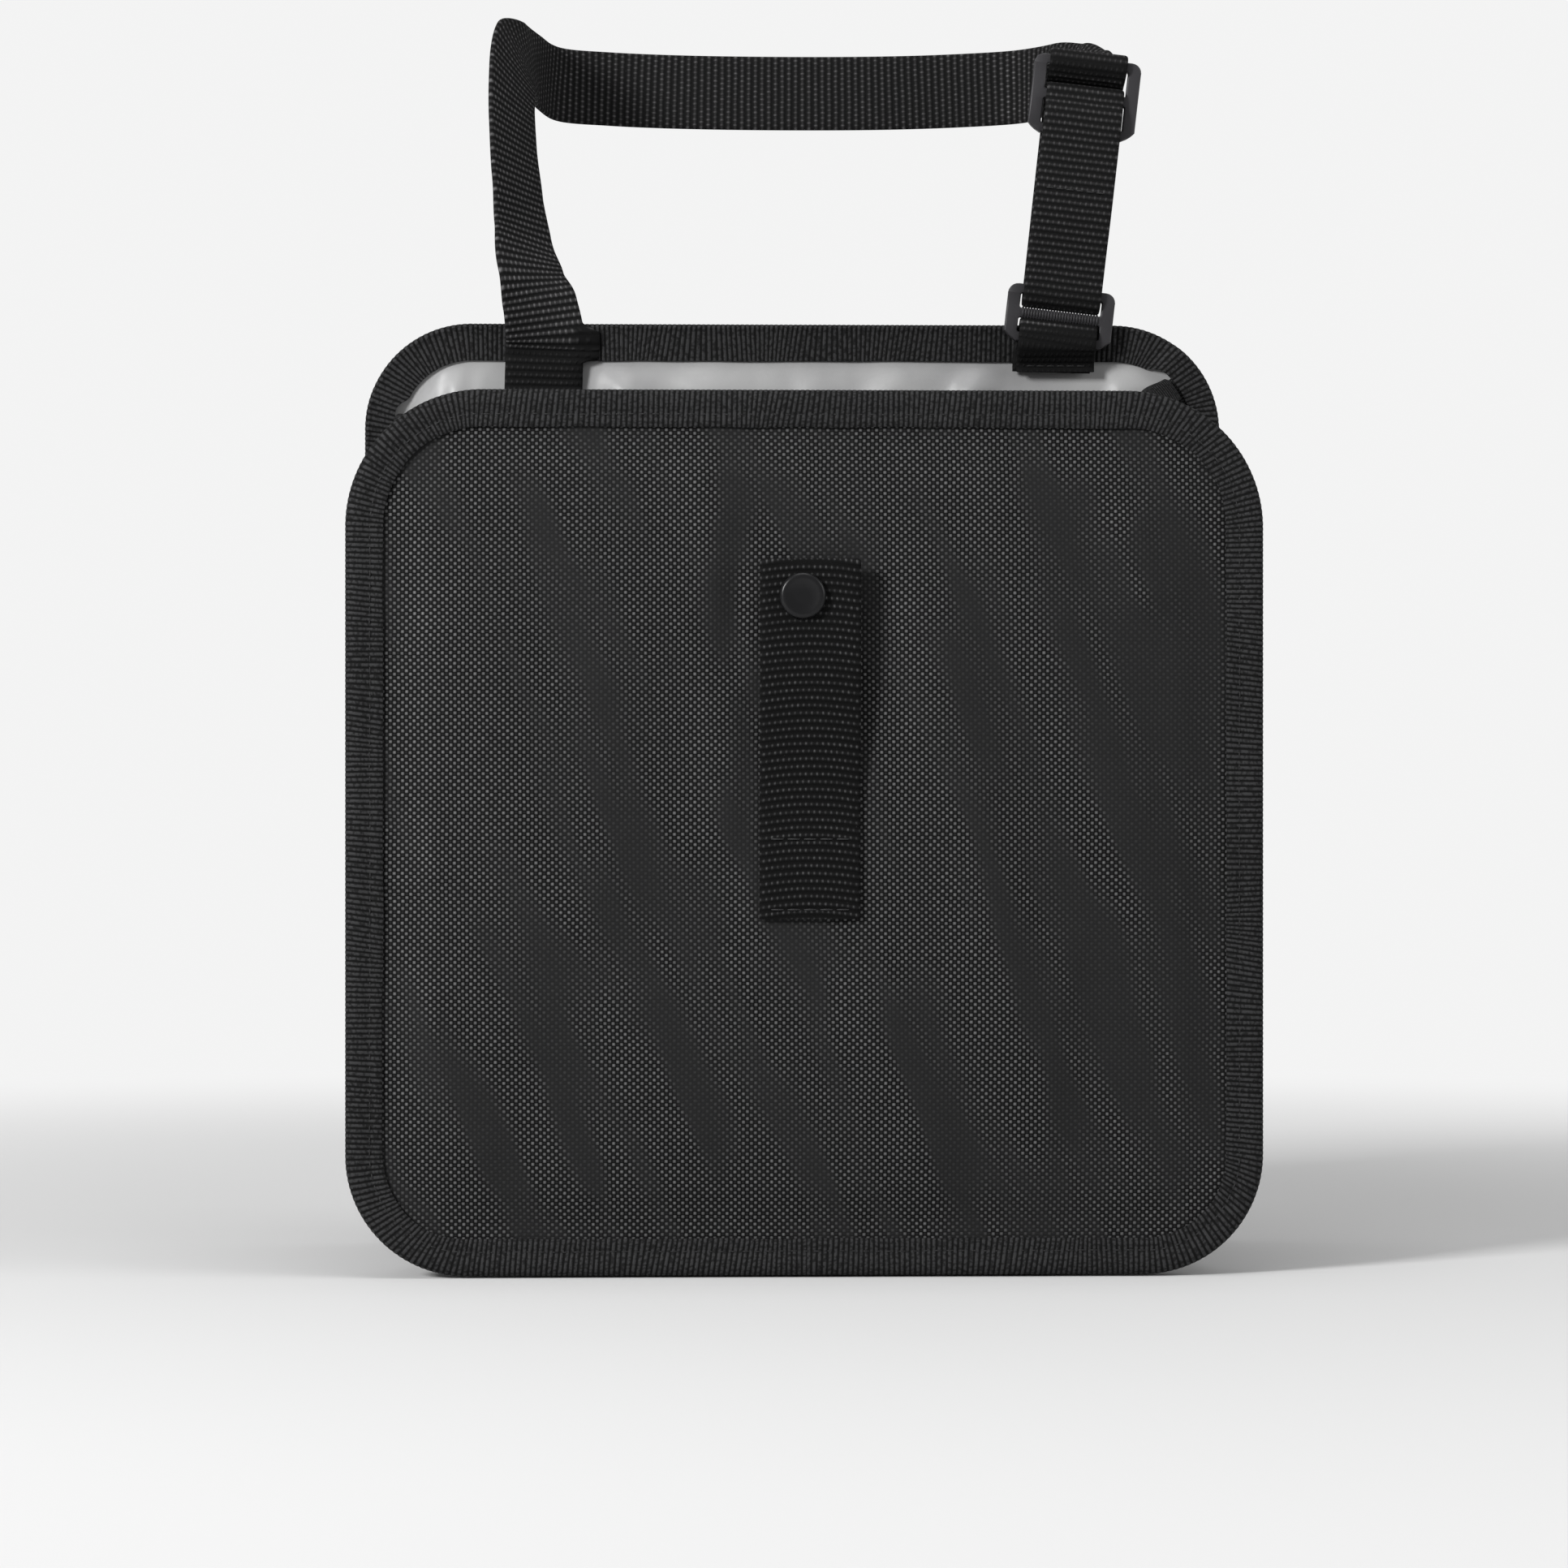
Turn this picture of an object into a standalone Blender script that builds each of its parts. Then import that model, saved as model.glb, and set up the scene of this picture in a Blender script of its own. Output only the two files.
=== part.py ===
"""Hanging storage bag of coated woven fabric with an adjustable webbing loop.

Units are metres, +Z is up, +X is to the right seen from the front and the
front panel faces -Y. The origin is the centre of the back panel's rear face.
"""

import math

import bmesh
import bpy
from mathutils import Vector

# Bag panels
BAG_WIDTH = 0.275
BACK_HEIGHT = 0.295
FRONT_HEIGHT = 0.265
BAG_DEPTH = 0.110
FRONT_TOP_RADIUS = 0.041
FRONT_BOTTOM_RADIUS = 0.036
BACK_TOP_RADIUS = 0.034
BACK_BOTTOM_RADIUS = 0.036

# Cloth, lining and tape
FABRIC = 0.0008
LINING = 0.0004
TAPE = 0.0007
PLY_GAP = 0.0003

# Seams: flange turned outwards at each panel's edge, wrapped by folded tape
SEAM_INSET = 0.0105
TIP_CLEARANCE = 0.0012
OUTER_LEG = 0.0112
INNER_LEG = 0.0092
FREE_LEG = 0.0118
TAPER_ANGLE = math.radians(12)

# Gusset ends, as angles round the top corners from the side of the bag
RIGHT_END_FRONT = math.radians(70)
RIGHT_END_BACK = math.radians(42)
LEFT_END_FRONT = math.radians(30)
LEFT_END_BACK = math.radians(20)
CREASE_DEPTH = 0.010
CREASE_AT_END = 0.003
CREASE_FADE = 0.050
RIM_LEG = 0.007
RIM_END_CLEARANCE = 0.0006
RIM_GAP = 0.0006

# Soft relief of the front panel
PANEL_BULGE = 0.0065
FOLD_FADE = 0.016
EDGE_FLAT = 0.0018
LINING_SLACK = 0.004

# Webbing
WEB_WIDTH = 0.025
WEB_THICKNESS = 0.0016
ANCHOR_DEPTH = 0.052
LEFT_STRAP_X = -0.0804
TAB_X = 0.0842
TAB_DEPTH = 0.0153

# Tri-glide buckles on the right of the loop
SLIDER_HEIGHT = 0.0253
RING_HEIGHT = 0.0185
BUCKLE_WIDTH = 0.0345
BUCKLE_THICKNESS = 0.003
BUCKLE_BAR = 0.0030
BUCKLE_SLOT_WIDTH = 0.0263
BUCKLE_CORNER = 0.0042
BAR_EASE = 0.0005
WRAP_CLEARANCE = 0.0008
RING_WRAP_SAG = 0.0014
STRAP_LEAN = math.radians(6.5)
RING_RISE = 0.0022
SLIDER_RISE = 0.0710
STRAP_END_RISE = 0.0375
TAB_LOOP_RISE = 0.0050

# Loop behind the posts that hold the bag up
LOOP_TOP = 0.2365
LOOP_DEPTH = 0.086
LOOP_HALF_WIDTH = 0.084

# Snap strap on the front panel
SNAP_STRAP_WIDTH = 0.030
SNAP_STRAP_X = 0.001
SNAP_STRAP_BELOW_TOP = 0.0509
SNAP_STRAP_LENGTH = 0.1072
SNAP_HEM = 0.026
SNAP_X = -0.0010
SNAP_BELOW_FOLD = 0.0106
SNAP_CAP_RADIUS = 0.0069
SNAP_CAP_HEIGHT = 0.0022
SNAP_FLANGE_RADIUS = 0.0060
SNAP_FLANGE = 0.0008
SNAP_POST_RADIUS = 0.0018
SNAP_HOLE_RADIUS = 0.0022
SNAP_POST_GAP = 0.0004
SOCKET_HEIGHT = 0.0024
SOCKET_BORE = 0.0030
STUD_RADIUS = 0.0026

# Stitching
THREAD = 0.0006
STITCH_PITCH = 0.0048
SEW_UPPER_RISE = 0.0238
SEW_MARGIN = 0.0028
TAB_SEW_RISE = 0.0018

# Mesh density
CORNER_STEPS = 6
PANEL_CELLS = 24
LINING_CELLS = 10
TURNING_STEPS = 20
WEB_STEP = 0.0055

# Heights that follow from the sizes above
BOTTOM_Z = -BACK_HEIGHT / 2
BACK_TOP_Z = BACK_HEIGHT / 2
FRONT_TOP_Z = BOTTOM_Z + FRONT_HEIGHT
HALF_WIDTH = BAG_WIDTH / 2
FRONT_Y = -BAG_DEPTH
SNAP_STRAP_TOP = FRONT_TOP_Z - SNAP_STRAP_BELOW_TOP
SNAP_STRAP_BOTTOM = SNAP_STRAP_TOP - SNAP_STRAP_LENGTH
SNAP_Z = SNAP_STRAP_TOP - SNAP_BELOW_FOLD
SEW_UPPER_Z = SNAP_STRAP_BOTTOM + SEW_UPPER_RISE
SEW_LOWER_Z = SNAP_STRAP_BOTTOM + SEW_MARGIN

# Depths of the layers, from a panel's outer face into the bag
LINING_AT = FABRIC + PLY_GAP
GUSSET_LINING_AT = LINING_AT + LINING + PLY_GAP
GUSSET_AT = GUSSET_LINING_AT + LINING + PLY_GAP
SEAM_DEPTH = GUSSET_AT + FABRIC
TOP_DEPTH = LINING_AT + LINING

# Long soft folds of the front panel: start x and z, end x and z, width, height
FOLDS = (
    (-0.034, 0.105, -0.020, 0.052, 0.009, 0.0016),
    (-0.100, 0.060, -0.078, -0.060, 0.020, 0.0022),
    (-0.064, 0.040, -0.060, -0.045, 0.014, 0.0014),
    (-0.118, -0.020, -0.084, -0.082, 0.011, 0.0018),
    (-0.118, -0.060, -0.096, -0.118, 0.010, 0.0018),
    (-0.058, -0.062, -0.030, -0.112, 0.010, 0.0016),
    (0.036, 0.060, 0.066, -0.090, 0.013, 0.0024),
    (0.052, 0.098, 0.104, -0.030, 0.012, 0.0018),
    (0.018, -0.062, 0.040, -0.118, 0.011, 0.0018),
    (0.094, 0.080, 0.106, 0.052, 0.008, 0.0014),
)


def clear_scene():
    """Remove every object that the file opened with."""
    for item in list(bpy.data.objects):
        bpy.data.objects.remove(item, do_unlink=True)


def make_material(name, colour, roughness, metallic=0.0):
    """Return a Principled material of one plain colour."""
    material = bpy.data.materials.new(name)
    material.use_nodes = True
    shader = material.node_tree.nodes["Principled BSDF"]
    shader.inputs["Base Color"].default_value = (*colour, 1.0)
    shader.inputs["Roughness"].default_value = roughness
    shader.inputs["Metallic"].default_value = metallic
    material.diffuse_color = (*colour, 1.0)
    return material


def finish_object(name, mesh_data, material, smooth_angle=35):
    """Turn a bmesh into a named object with outward faces."""
    bmesh.ops.recalc_face_normals(mesh_data, faces=mesh_data.faces)
    mesh = bpy.data.meshes.new(name)
    mesh_data.to_mesh(mesh)
    mesh_data.free()
    mesh.shade_smooth()
    mesh.set_sharp_from_angle(angle=math.radians(smooth_angle))
    mesh.materials.append(material)
    item = bpy.data.objects.new(name, mesh)
    bpy.context.scene.collection.objects.link(item)
    return item


def skin(rings, closed, turn=None):
    """Return a bmesh skinned over equal rings, joined round or capped.

    Where a thin wall is warped, turn is the place in a ring where it starts
    back along the wall's other face, so that both faces split the same way.
    """
    mesh_data = bmesh.new()
    rows = [[mesh_data.verts.new(point) for point in ring] for ring in rings]
    size = len(rows[0])
    spans = len(rows) if closed else len(rows) - 1
    for i in range(spans):
        low = rows[i]
        high = rows[(i + 1) % len(rows)]
        for k in range(size):
            n = (k + 1) % size
            if turn is None:
                mesh_data.faces.new((low[k], low[n], high[n], high[k]))
            elif k < turn:
                mesh_data.faces.new((low[k], low[n], high[n]))
                mesh_data.faces.new((low[k], high[n], high[k]))
            else:
                mesh_data.faces.new((low[k], low[n], high[k]))
                mesh_data.faces.new((low[n], high[n], high[k]))
    if not closed:
        mesh_data.faces.new(rows[0])
        mesh_data.faces.new(rows[-1])
    return mesh_data


def smooth_step(value):
    """Ease a value between 0 and 1."""
    value = min(max(value, 0.0), 1.0)
    return value * value * (3.0 - 2.0 * value)


def mix(low, high, share):
    """Return the value at a share of the way from low to high."""
    return low + (high - low) * share


class Outline:
    """Rounded rectangle in the XZ plane with its own top and bottom radius."""

    def __init__(self, top_z, top_radius, bottom_radius):
        self.top_z = top_z
        self.top_radius = top_radius
        self.bottom_radius = bottom_radius

    def at(self, side, angle, inset):
        """Return the point and normal of a corner, at an angle from the side."""
        radius = self.top_radius if angle > 0 else self.bottom_radius
        level = self.top_z - radius if angle > 0 else BOTTOM_Z + radius
        normal = Vector((side * math.cos(angle), 0, math.sin(angle)))
        centre = Vector((side * (HALF_WIDTH - radius), 0, level))
        return centre + normal * (radius - inset), normal

    def side_run(self, side, end_angle, inset, steps):
        """Return points from the bottom's middle round one side to an end."""
        points = []
        quarter = math.pi / 2
        foot, foot_normal = self.at(side, -quarter, inset)
        for k in range(steps):
            share = (k + 0.5) / steps
            points.append((Vector((foot.x * share, 0, foot.z)), foot_normal))
        for k in range(CORNER_STEPS + 1):
            points.append(self.at(side, -quarter * (1 - k / CORNER_STEPS) - 1e-9, inset))
        low = points[-1][0]
        high, normal = self.at(side, 1e-9, inset)
        for k in range(1, steps + 1):
            points.append((low.lerp(high, k / (steps + 1)), normal))
        tape_angle = RIM_LEG / (self.top_radius - SEAM_INSET)
        bend = end_angle - tape_angle
        for k in range(CORNER_STEPS - 1):
            points.append(self.at(side, bend * k / (CORNER_STEPS - 2) + 1e-9, inset))
        points.append(self.at(side, end_angle - tape_angle / 2, inset))
        points.append(self.at(side, end_angle, inset))
        return points

    def open_run(self, left_end, right_end, inset, steps=4):
        """Return the gusset's run, from its left end down and up to its right end."""
        left = self.side_run(-1, left_end, inset, steps)
        right = self.side_run(1, right_end, inset, steps)
        return left[::-1] + right

    def closed_run(self, inset, steps=4):
        """Return the whole outline as points and normals."""
        run = self.open_run(math.pi / 2, math.pi / 2, inset, steps)
        start = run[-1][0]
        end = run[0][0]
        for k in range(1, 2 * steps):
            run.append((start.lerp(end, k / (2 * steps)), run[-1][1]))
        return run


FRONT = Outline(FRONT_TOP_Z, FRONT_TOP_RADIUS, FRONT_BOTTOM_RADIUS)
BACK = Outline(BACK_TOP_Z, BACK_TOP_RADIUS, BACK_BOTTOM_RADIUS)
PLY_INSET = TAPE + TIP_CLEARANCE


def panel_depth(x, z):
    """Return how far the front panel's outer face stands out at a point."""
    middle_z = (FRONT_TOP_Z + BOTTOM_Z) / 2
    across = abs(x) / HALF_WIDTH
    along = abs(z - middle_z) / (FRONT_HEIGHT / 2)
    bulge = PANEL_BULGE * (1 - across ** 2.6) * (1 - along ** 2.6)
    edge_x = HALF_WIDTH - OUTER_LEG - abs(x)
    edge_z = FRONT_HEIGHT / 2 - OUTER_LEG - abs(z - middle_z)
    corner = FRONT_TOP_RADIUS - OUTER_LEG
    if edge_x < corner and edge_z < corner:
        edge = corner - math.hypot(corner - edge_x, corner - edge_z)
    else:
        edge = min(edge_x, edge_z)
    fade = smooth_step(edge / FOLD_FADE)
    height = 0.0
    for x0, z0, x1, z1, width, rise in FOLDS:
        run = Vector((x1 - x0, z1 - z0))
        offset = Vector((x - x0, z - z0))
        share = offset.dot(run) / run.length_squared
        away = abs(offset.x * run.y - offset.y * run.x) / run.length
        ends = math.exp(-(max(abs(share - 0.5) - 0.3, 0.0) / 0.25) ** 2)
        height += rise * math.exp(-(away / width) ** 2) * ends
    beside = max(abs(x - SNAP_STRAP_X) - SNAP_STRAP_WIDTH / 2 - 0.004, 0.0)
    above = max(z - SNAP_STRAP_TOP - 0.004, SNAP_STRAP_BOTTOM - 0.006 - z, 0.0)
    calm = smooth_step(math.hypot(beside, above) / 0.014)
    return (bulge + height * calm) * fade


def square_to_panel(u, v, outline, inset):
    """Map a square of side two onto the panel's rounded outline."""
    reach = max(abs(u), abs(v))
    middle_z = (outline.top_z + BOTTOM_Z) / 2
    if reach < 1e-9:
        return 0.0, middle_z
    low = BOTTOM_Z + inset
    high = outline.top_z - inset
    half = HALF_WIDTH - inset
    x = u / reach * half
    z = mix(low, high, (v / reach + 1) / 2)
    radius = (outline.top_radius if v > 0 else outline.bottom_radius) - inset
    corner_x = half - radius
    corner_z = high - radius if v > 0 else low + radius
    inside_z = z - corner_z if v > 0 else corner_z - z
    if abs(x) > corner_x and inside_z > 0:
        along = (half - abs(x)) if inside_z >= radius - 1e-9 else None
        if along is None:
            share = inside_z / radius / 2
        else:
            share = 0.5 + along / radius / 2
        angle = share * math.pi / 2
        x = math.copysign(corner_x + radius * math.cos(angle), x)
        z = corner_z + math.copysign(radius * math.sin(angle), v)
    return x * reach, middle_z + (z - middle_z) * reach


def sheet_levels(cells):
    """Return grid levels from -1 to 1, with a flat outer ring under the tape."""
    band = (OUTER_LEG + EDGE_FLAT) / HALF_WIDTH
    inner = [(2 * k / (cells - 2) - 1) * (1 - band) for k in range(cells - 1)]
    return [-1.0] + inner + [1.0]


def make_sheet(name, outline, cells, front_face, thickness, material):
    """Build one flat-cut sheet whose front face follows a function."""
    mesh_data = bmesh.new()
    layers = []
    levels = sheet_levels(cells)
    for back in (0.0, thickness):
        rows = []
        for v in levels:
            row = []
            for u in levels:
                x, z = square_to_panel(u, v, outline, PLY_INSET)
                row.append(mesh_data.verts.new((x, front_face(x, z) + back, z)))
            rows.append(row)
        layers.append(rows)
    for rows in layers:
        for j in range(cells):
            for i in range(cells):
                corners = (rows[j][i], rows[j][i + 1], rows[j + 1][i + 1], rows[j + 1][i])
                mesh_data.faces.new(corners)
    rims = []
    for rows in layers:
        rim = rows[0][:-1] + [row[-1] for row in rows[:-1]]
        rim += rows[-1][:0:-1] + [row[0] for row in rows[:0:-1]]
        rims.append(rim)
    for k in range(len(rims[0])):
        n = (k + 1) % len(rims[0])
        mesh_data.faces.new((rims[0][k], rims[0][n], rims[1][n], rims[1][k]))
    return finish_object(name, mesh_data, material)


def front_face(x, z):
    """Return the depth of the front panel's outer face."""
    return FRONT_Y - panel_depth(x, z)


def front_lining_face(x, z):
    """Return the depth of the front lining, which hangs slack off its panel."""
    middle_z = (FRONT_TOP_Z + BOTTOM_Z) / 2
    across = min(abs(x) / (HALF_WIDTH - SEAM_INSET), 1.0)
    along = min(abs(z - middle_z) / (FRONT_HEIGHT / 2 - SEAM_INSET), 1.0)
    slack = LINING_SLACK * smooth_step((1 - across) * 3) * smooth_step((1 - along) * 3)
    return FRONT_Y + LINING_AT + slack


def back_face(_x, _z):
    """Return the depth of the back panel's inner face."""
    return -FABRIC


def back_lining_face(_x, _z):
    """Return the depth of the back lining's face inside the bag."""
    return -TOP_DEPTH


def crease(share, level):
    """Return how far the gusset folds inwards, at a depth share and a height."""
    rise = smooth_step((level - BOTTOM_Z) / 0.10)
    depth = mix(CREASE_AT_END, CREASE_DEPTH, rise)
    near_top = smooth_step((level - FRONT_TOP_Z + CREASE_FADE) / CREASE_FADE)
    depth = mix(depth, CREASE_AT_END, near_top)
    return depth * math.sin(math.pi * share) ** 2


GUSSET_SHARES = (0.0, 0.17, 0.34, 0.5, 0.66, 0.83, 1.0)


def wall_point(front, back, share, offset, depth):
    """Return a point of the gusset's wall, a given offset inside its outer face."""
    point = front[0].lerp(back[0], share)
    normal = front[1].lerp(back[1], share).normalized()
    if 0 < share < 1:
        depth = SEAM_DEPTH
    y = mix(FRONT_Y + depth, -depth, share)
    return point - normal * (offset + crease(share, point.z)) + Vector((0, y, 0))


def gusset_ring(front, back, flange_at, inner_flange_at, outer_offset, inner_offset):
    """Return one closed cross-section of the gusset or of its lining."""
    reach = SEAM_INSET - PLY_INSET
    front_tip = front[0] + front[1] * reach
    back_tip = back[0] + back[1] * reach
    ring = [front_tip + Vector((0, FRONT_Y + flange_at, 0))]
    for share in GUSSET_SHARES:
        ring.append(wall_point(front, back, share, outer_offset, flange_at))
    ring.append(back_tip + Vector((0, -flange_at, 0)))
    ring.append(back_tip + Vector((0, -inner_flange_at, 0)))
    for share in reversed(GUSSET_SHARES):
        ring.append(wall_point(front, back, share, inner_offset, inner_flange_at))
    ring.append(front_tip + Vector((0, FRONT_Y + inner_flange_at, 0)))
    return ring


def gusset_runs():
    """Return the seam lines of the gusset on the front and the back panel."""
    front = FRONT.open_run(LEFT_END_FRONT, RIGHT_END_FRONT, SEAM_INSET)
    back = BACK.open_run(LEFT_END_BACK, RIGHT_END_BACK, SEAM_INSET)
    return front, back


def make_gusset(cloth, lining):
    """Build the side, bottom and side strip and its lining."""
    front, back = gusset_runs()
    rings = [gusset_ring(a, b, SEAM_DEPTH, GUSSET_AT, 0.0, FABRIC)
             for a, b in zip(front, back)]
    turn = len(GUSSET_SHARES) + 2
    finish_object("side_gusset", skin(rings, False, turn), cloth)
    inner = FABRIC + PLY_GAP
    rings = [gusset_ring(a, b, GUSSET_LINING_AT + LINING, GUSSET_LINING_AT,
                         inner, inner + LINING) for a, b in zip(front, back)]
    finish_object("gusset_lining", skin(rings, False, turn), lining)


def seam_share(normal, left_end, right_end):
    """Return 1 where the gusset is sewn in and 0 along the free top edge."""
    end = right_end if normal.x > 0 else left_end
    angle = math.atan2(normal.z, abs(normal.x))
    return 1 - smooth_step((angle - end - TAPER_ANGLE / 2) / TAPER_ANGLE)


def make_binding(name, outline, face_y, inward, ends, material):
    """Build folded tape round a panel's edge, with its legs on both faces."""
    rings = []
    for edge, normal in outline.closed_run(0.0):
        share = seam_share(normal, *ends)
        depth = mix(TOP_DEPTH, SEAM_DEPTH, share) + PLY_GAP
        leg = mix(FREE_LEG, INNER_LEG, share)
        section = (
            (OUTER_LEG, -PLY_GAP - TAPE),
            (TAPE * 0.7, -PLY_GAP - TAPE),
            (0.0, -PLY_GAP - TAPE * 0.3),
            (0.0, depth + TAPE * 0.3),
            (TAPE * 0.7, depth + TAPE),
            (leg, depth + TAPE),
            (leg, depth),
            (TAPE, depth),
            (TAPE, -PLY_GAP),
            (OUTER_LEG, -PLY_GAP),
        )
        ring = []
        for inset, deep in section:
            ring.append(edge - normal * inset + Vector((0, face_y + inward * deep, 0)))
        rings.append(ring)
    return finish_object(name, skin(rings, True), material)


def make_rim_binding(name, front, back, beyond, material):
    """Build the folded tape on one free end of the gusset.

    The stations of the two seam lines run from the inner edge of the tape's
    legs to the free end.
    """
    start = PLY_GAP + TAPE + RIM_END_CLEARANCE
    inner = FABRIC + PLY_GAP + LINING + RIM_GAP
    first = start / ((BAG_DEPTH - 2 * SEAM_DEPTH) * GUSSET_SHARES[1])
    stations = [(0, 1, first)] + [(k, k, 0.0) for k in range(1, len(GUSSET_SHARES) - 1)]
    stations.append((len(GUSSET_SHARES) - 1, len(GUSSET_SHARES) - 2, first))
    rings = []
    for near, far, share in stations:
        def place(station, offset):
            low = wall_point(front[station], back[station], GUSSET_SHARES[near],
                             offset, SEAM_DEPTH)
            high = wall_point(front[station], back[station], GUSSET_SHARES[far],
                              offset, SEAM_DEPTH)
            return low.lerp(high, share)

        normal = front[-1][1].lerp(back[-1][1], GUSSET_SHARES[near]).normalized()
        ahead = Vector((-normal.z, 0, normal.x)) * beyond
        tip = RIM_GAP + TAPE
        outside = -RIM_GAP
        ring = [place(k, outside - TAPE) for k in range(len(front))]
        ring.append(place(-1, 0.0) + ahead * tip)
        ring.append(place(-1, inner) + ahead * tip)
        ring += [place(k, inner + TAPE) for k in range(len(front) - 1, -1, -1)]
        ring += [place(k, inner) for k in range(len(front))]
        ring[-1] = ring[-1] + ahead * RIM_GAP
        ring.append(place(-1, outside) + ahead * RIM_GAP)
        ring += [place(k, outside) for k in range(len(front) - 2, -1, -1)]
        rings.append(ring)
    return finish_object(name, skin(rings, False), material)


def curve_point(a, b, c, d, t):
    """Return a point between b and c of a smooth curve that never loops."""
    first = max((b - a).length ** 0.5, 1e-4)
    second = max((c - b).length ** 0.5, 1e-4)
    third = max((d - c).length ** 0.5, 1e-4)
    leave = (b - a) / first - (c - a) / (first + second) + (c - b) / second
    reach = (c - b) / second - (d - b) / (second + third) + (d - c) / third
    leave *= second
    reach *= second
    square = t * t
    cube = square * t
    return (b * (2 * cube - 3 * square + 1) + leave * (cube - 2 * square + t)
            + c * (3 * square - 2 * cube) + reach * (cube - square))


def ribbon_rings(route, width, thickness):
    """Return the cross-sections of flat webbing along a hand-chosen route."""
    points = [Vector(stop[0]) for stop in route]
    sides = [Vector(stop[1]).normalized() for stop in route]
    line = []
    for i in range(len(points) - 1):
        a = points[i - 1] if i else 2 * points[0] - points[1]
        end = i + 2 < len(points)
        d = points[i + 2] if end else 2 * points[-1] - points[-2]
        samples = max(round((points[i + 1] - points[i]).length / WEB_STEP), 1)
        for k in range(samples):
            t = k / samples
            centre = curve_point(a, points[i], points[i + 1], d, t)
            line.append((centre, sides[i].lerp(sides[i + 1], t)))
    line.append((points[-1], sides[-1]))
    rings = []
    for i, (centre, side) in enumerate(line):
        before = line[max(i - 1, 0)][0]
        after = line[min(i + 1, len(line) - 1)][0]
        tangent = (after - before).normalized()
        side = (side - tangent * side.dot(tangent)).normalized() * (width / 2)
        out = tangent.cross(side).normalized() * (thickness / 2)
        rings.append([centre + side + out, centre - side + out,
                      centre - side - out, centre + side - out])
    return rings


# Places of the buckles, in the leaning plane of the right of the loop
STRAP_ON_LINING = -TOP_DEPTH - PLY_GAP - WEB_THICKNESS / 2
STRAP_ON_BINDING = STRAP_ON_LINING - PLY_GAP - TAPE
WRAP_RADIUS = BUCKLE_THICKNESS / 2 + WRAP_CLEARANCE + WEB_THICKNESS / 2
LAYER_STEP = WEB_THICKNESS + PLY_GAP
BUCKLE_Y = STRAP_ON_BINDING - WRAP_RADIUS
RING_Z = BACK_TOP_Z + RING_RISE
RING_X = TAB_X + 0.0012
LEAN_UP = Vector((math.sin(STRAP_LEAN), 0, math.cos(STRAP_LEAN)))
LEAN_SIDE = Vector((math.cos(STRAP_LEAN), 0, -math.sin(STRAP_LEAN)))
RING_BAR = (RING_HEIGHT - BUCKLE_BAR) / 2
SLIDER_BAR = (SLIDER_HEIGHT - BUCKLE_BAR) / 2


def leaning(rise, depth):
    """Return a point of the leaning plane, by its rise above the ring's centre."""
    return Vector((RING_X, BUCKLE_Y + depth, RING_Z)) + LEAN_UP * rise


def wrap(rise, start, end, steps, sag=0.0):
    """Return stops round a bar, with angles from the rear over the top."""
    stops = []
    for k in range(steps + 1):
        angle = math.radians(mix(start, end, k / steps))
        across = WRAP_RADIUS * math.cos(angle)
        up = (WRAP_RADIUS + sag) * math.sin(angle)
        stops.append(leaning(rise + up, across))
    return stops


def turned_side(angle):
    """Return the direction of the webbing's width, turned about +Z in degrees."""
    return (math.cos(math.radians(angle)), math.sin(math.radians(angle)), 0.0)


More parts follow.
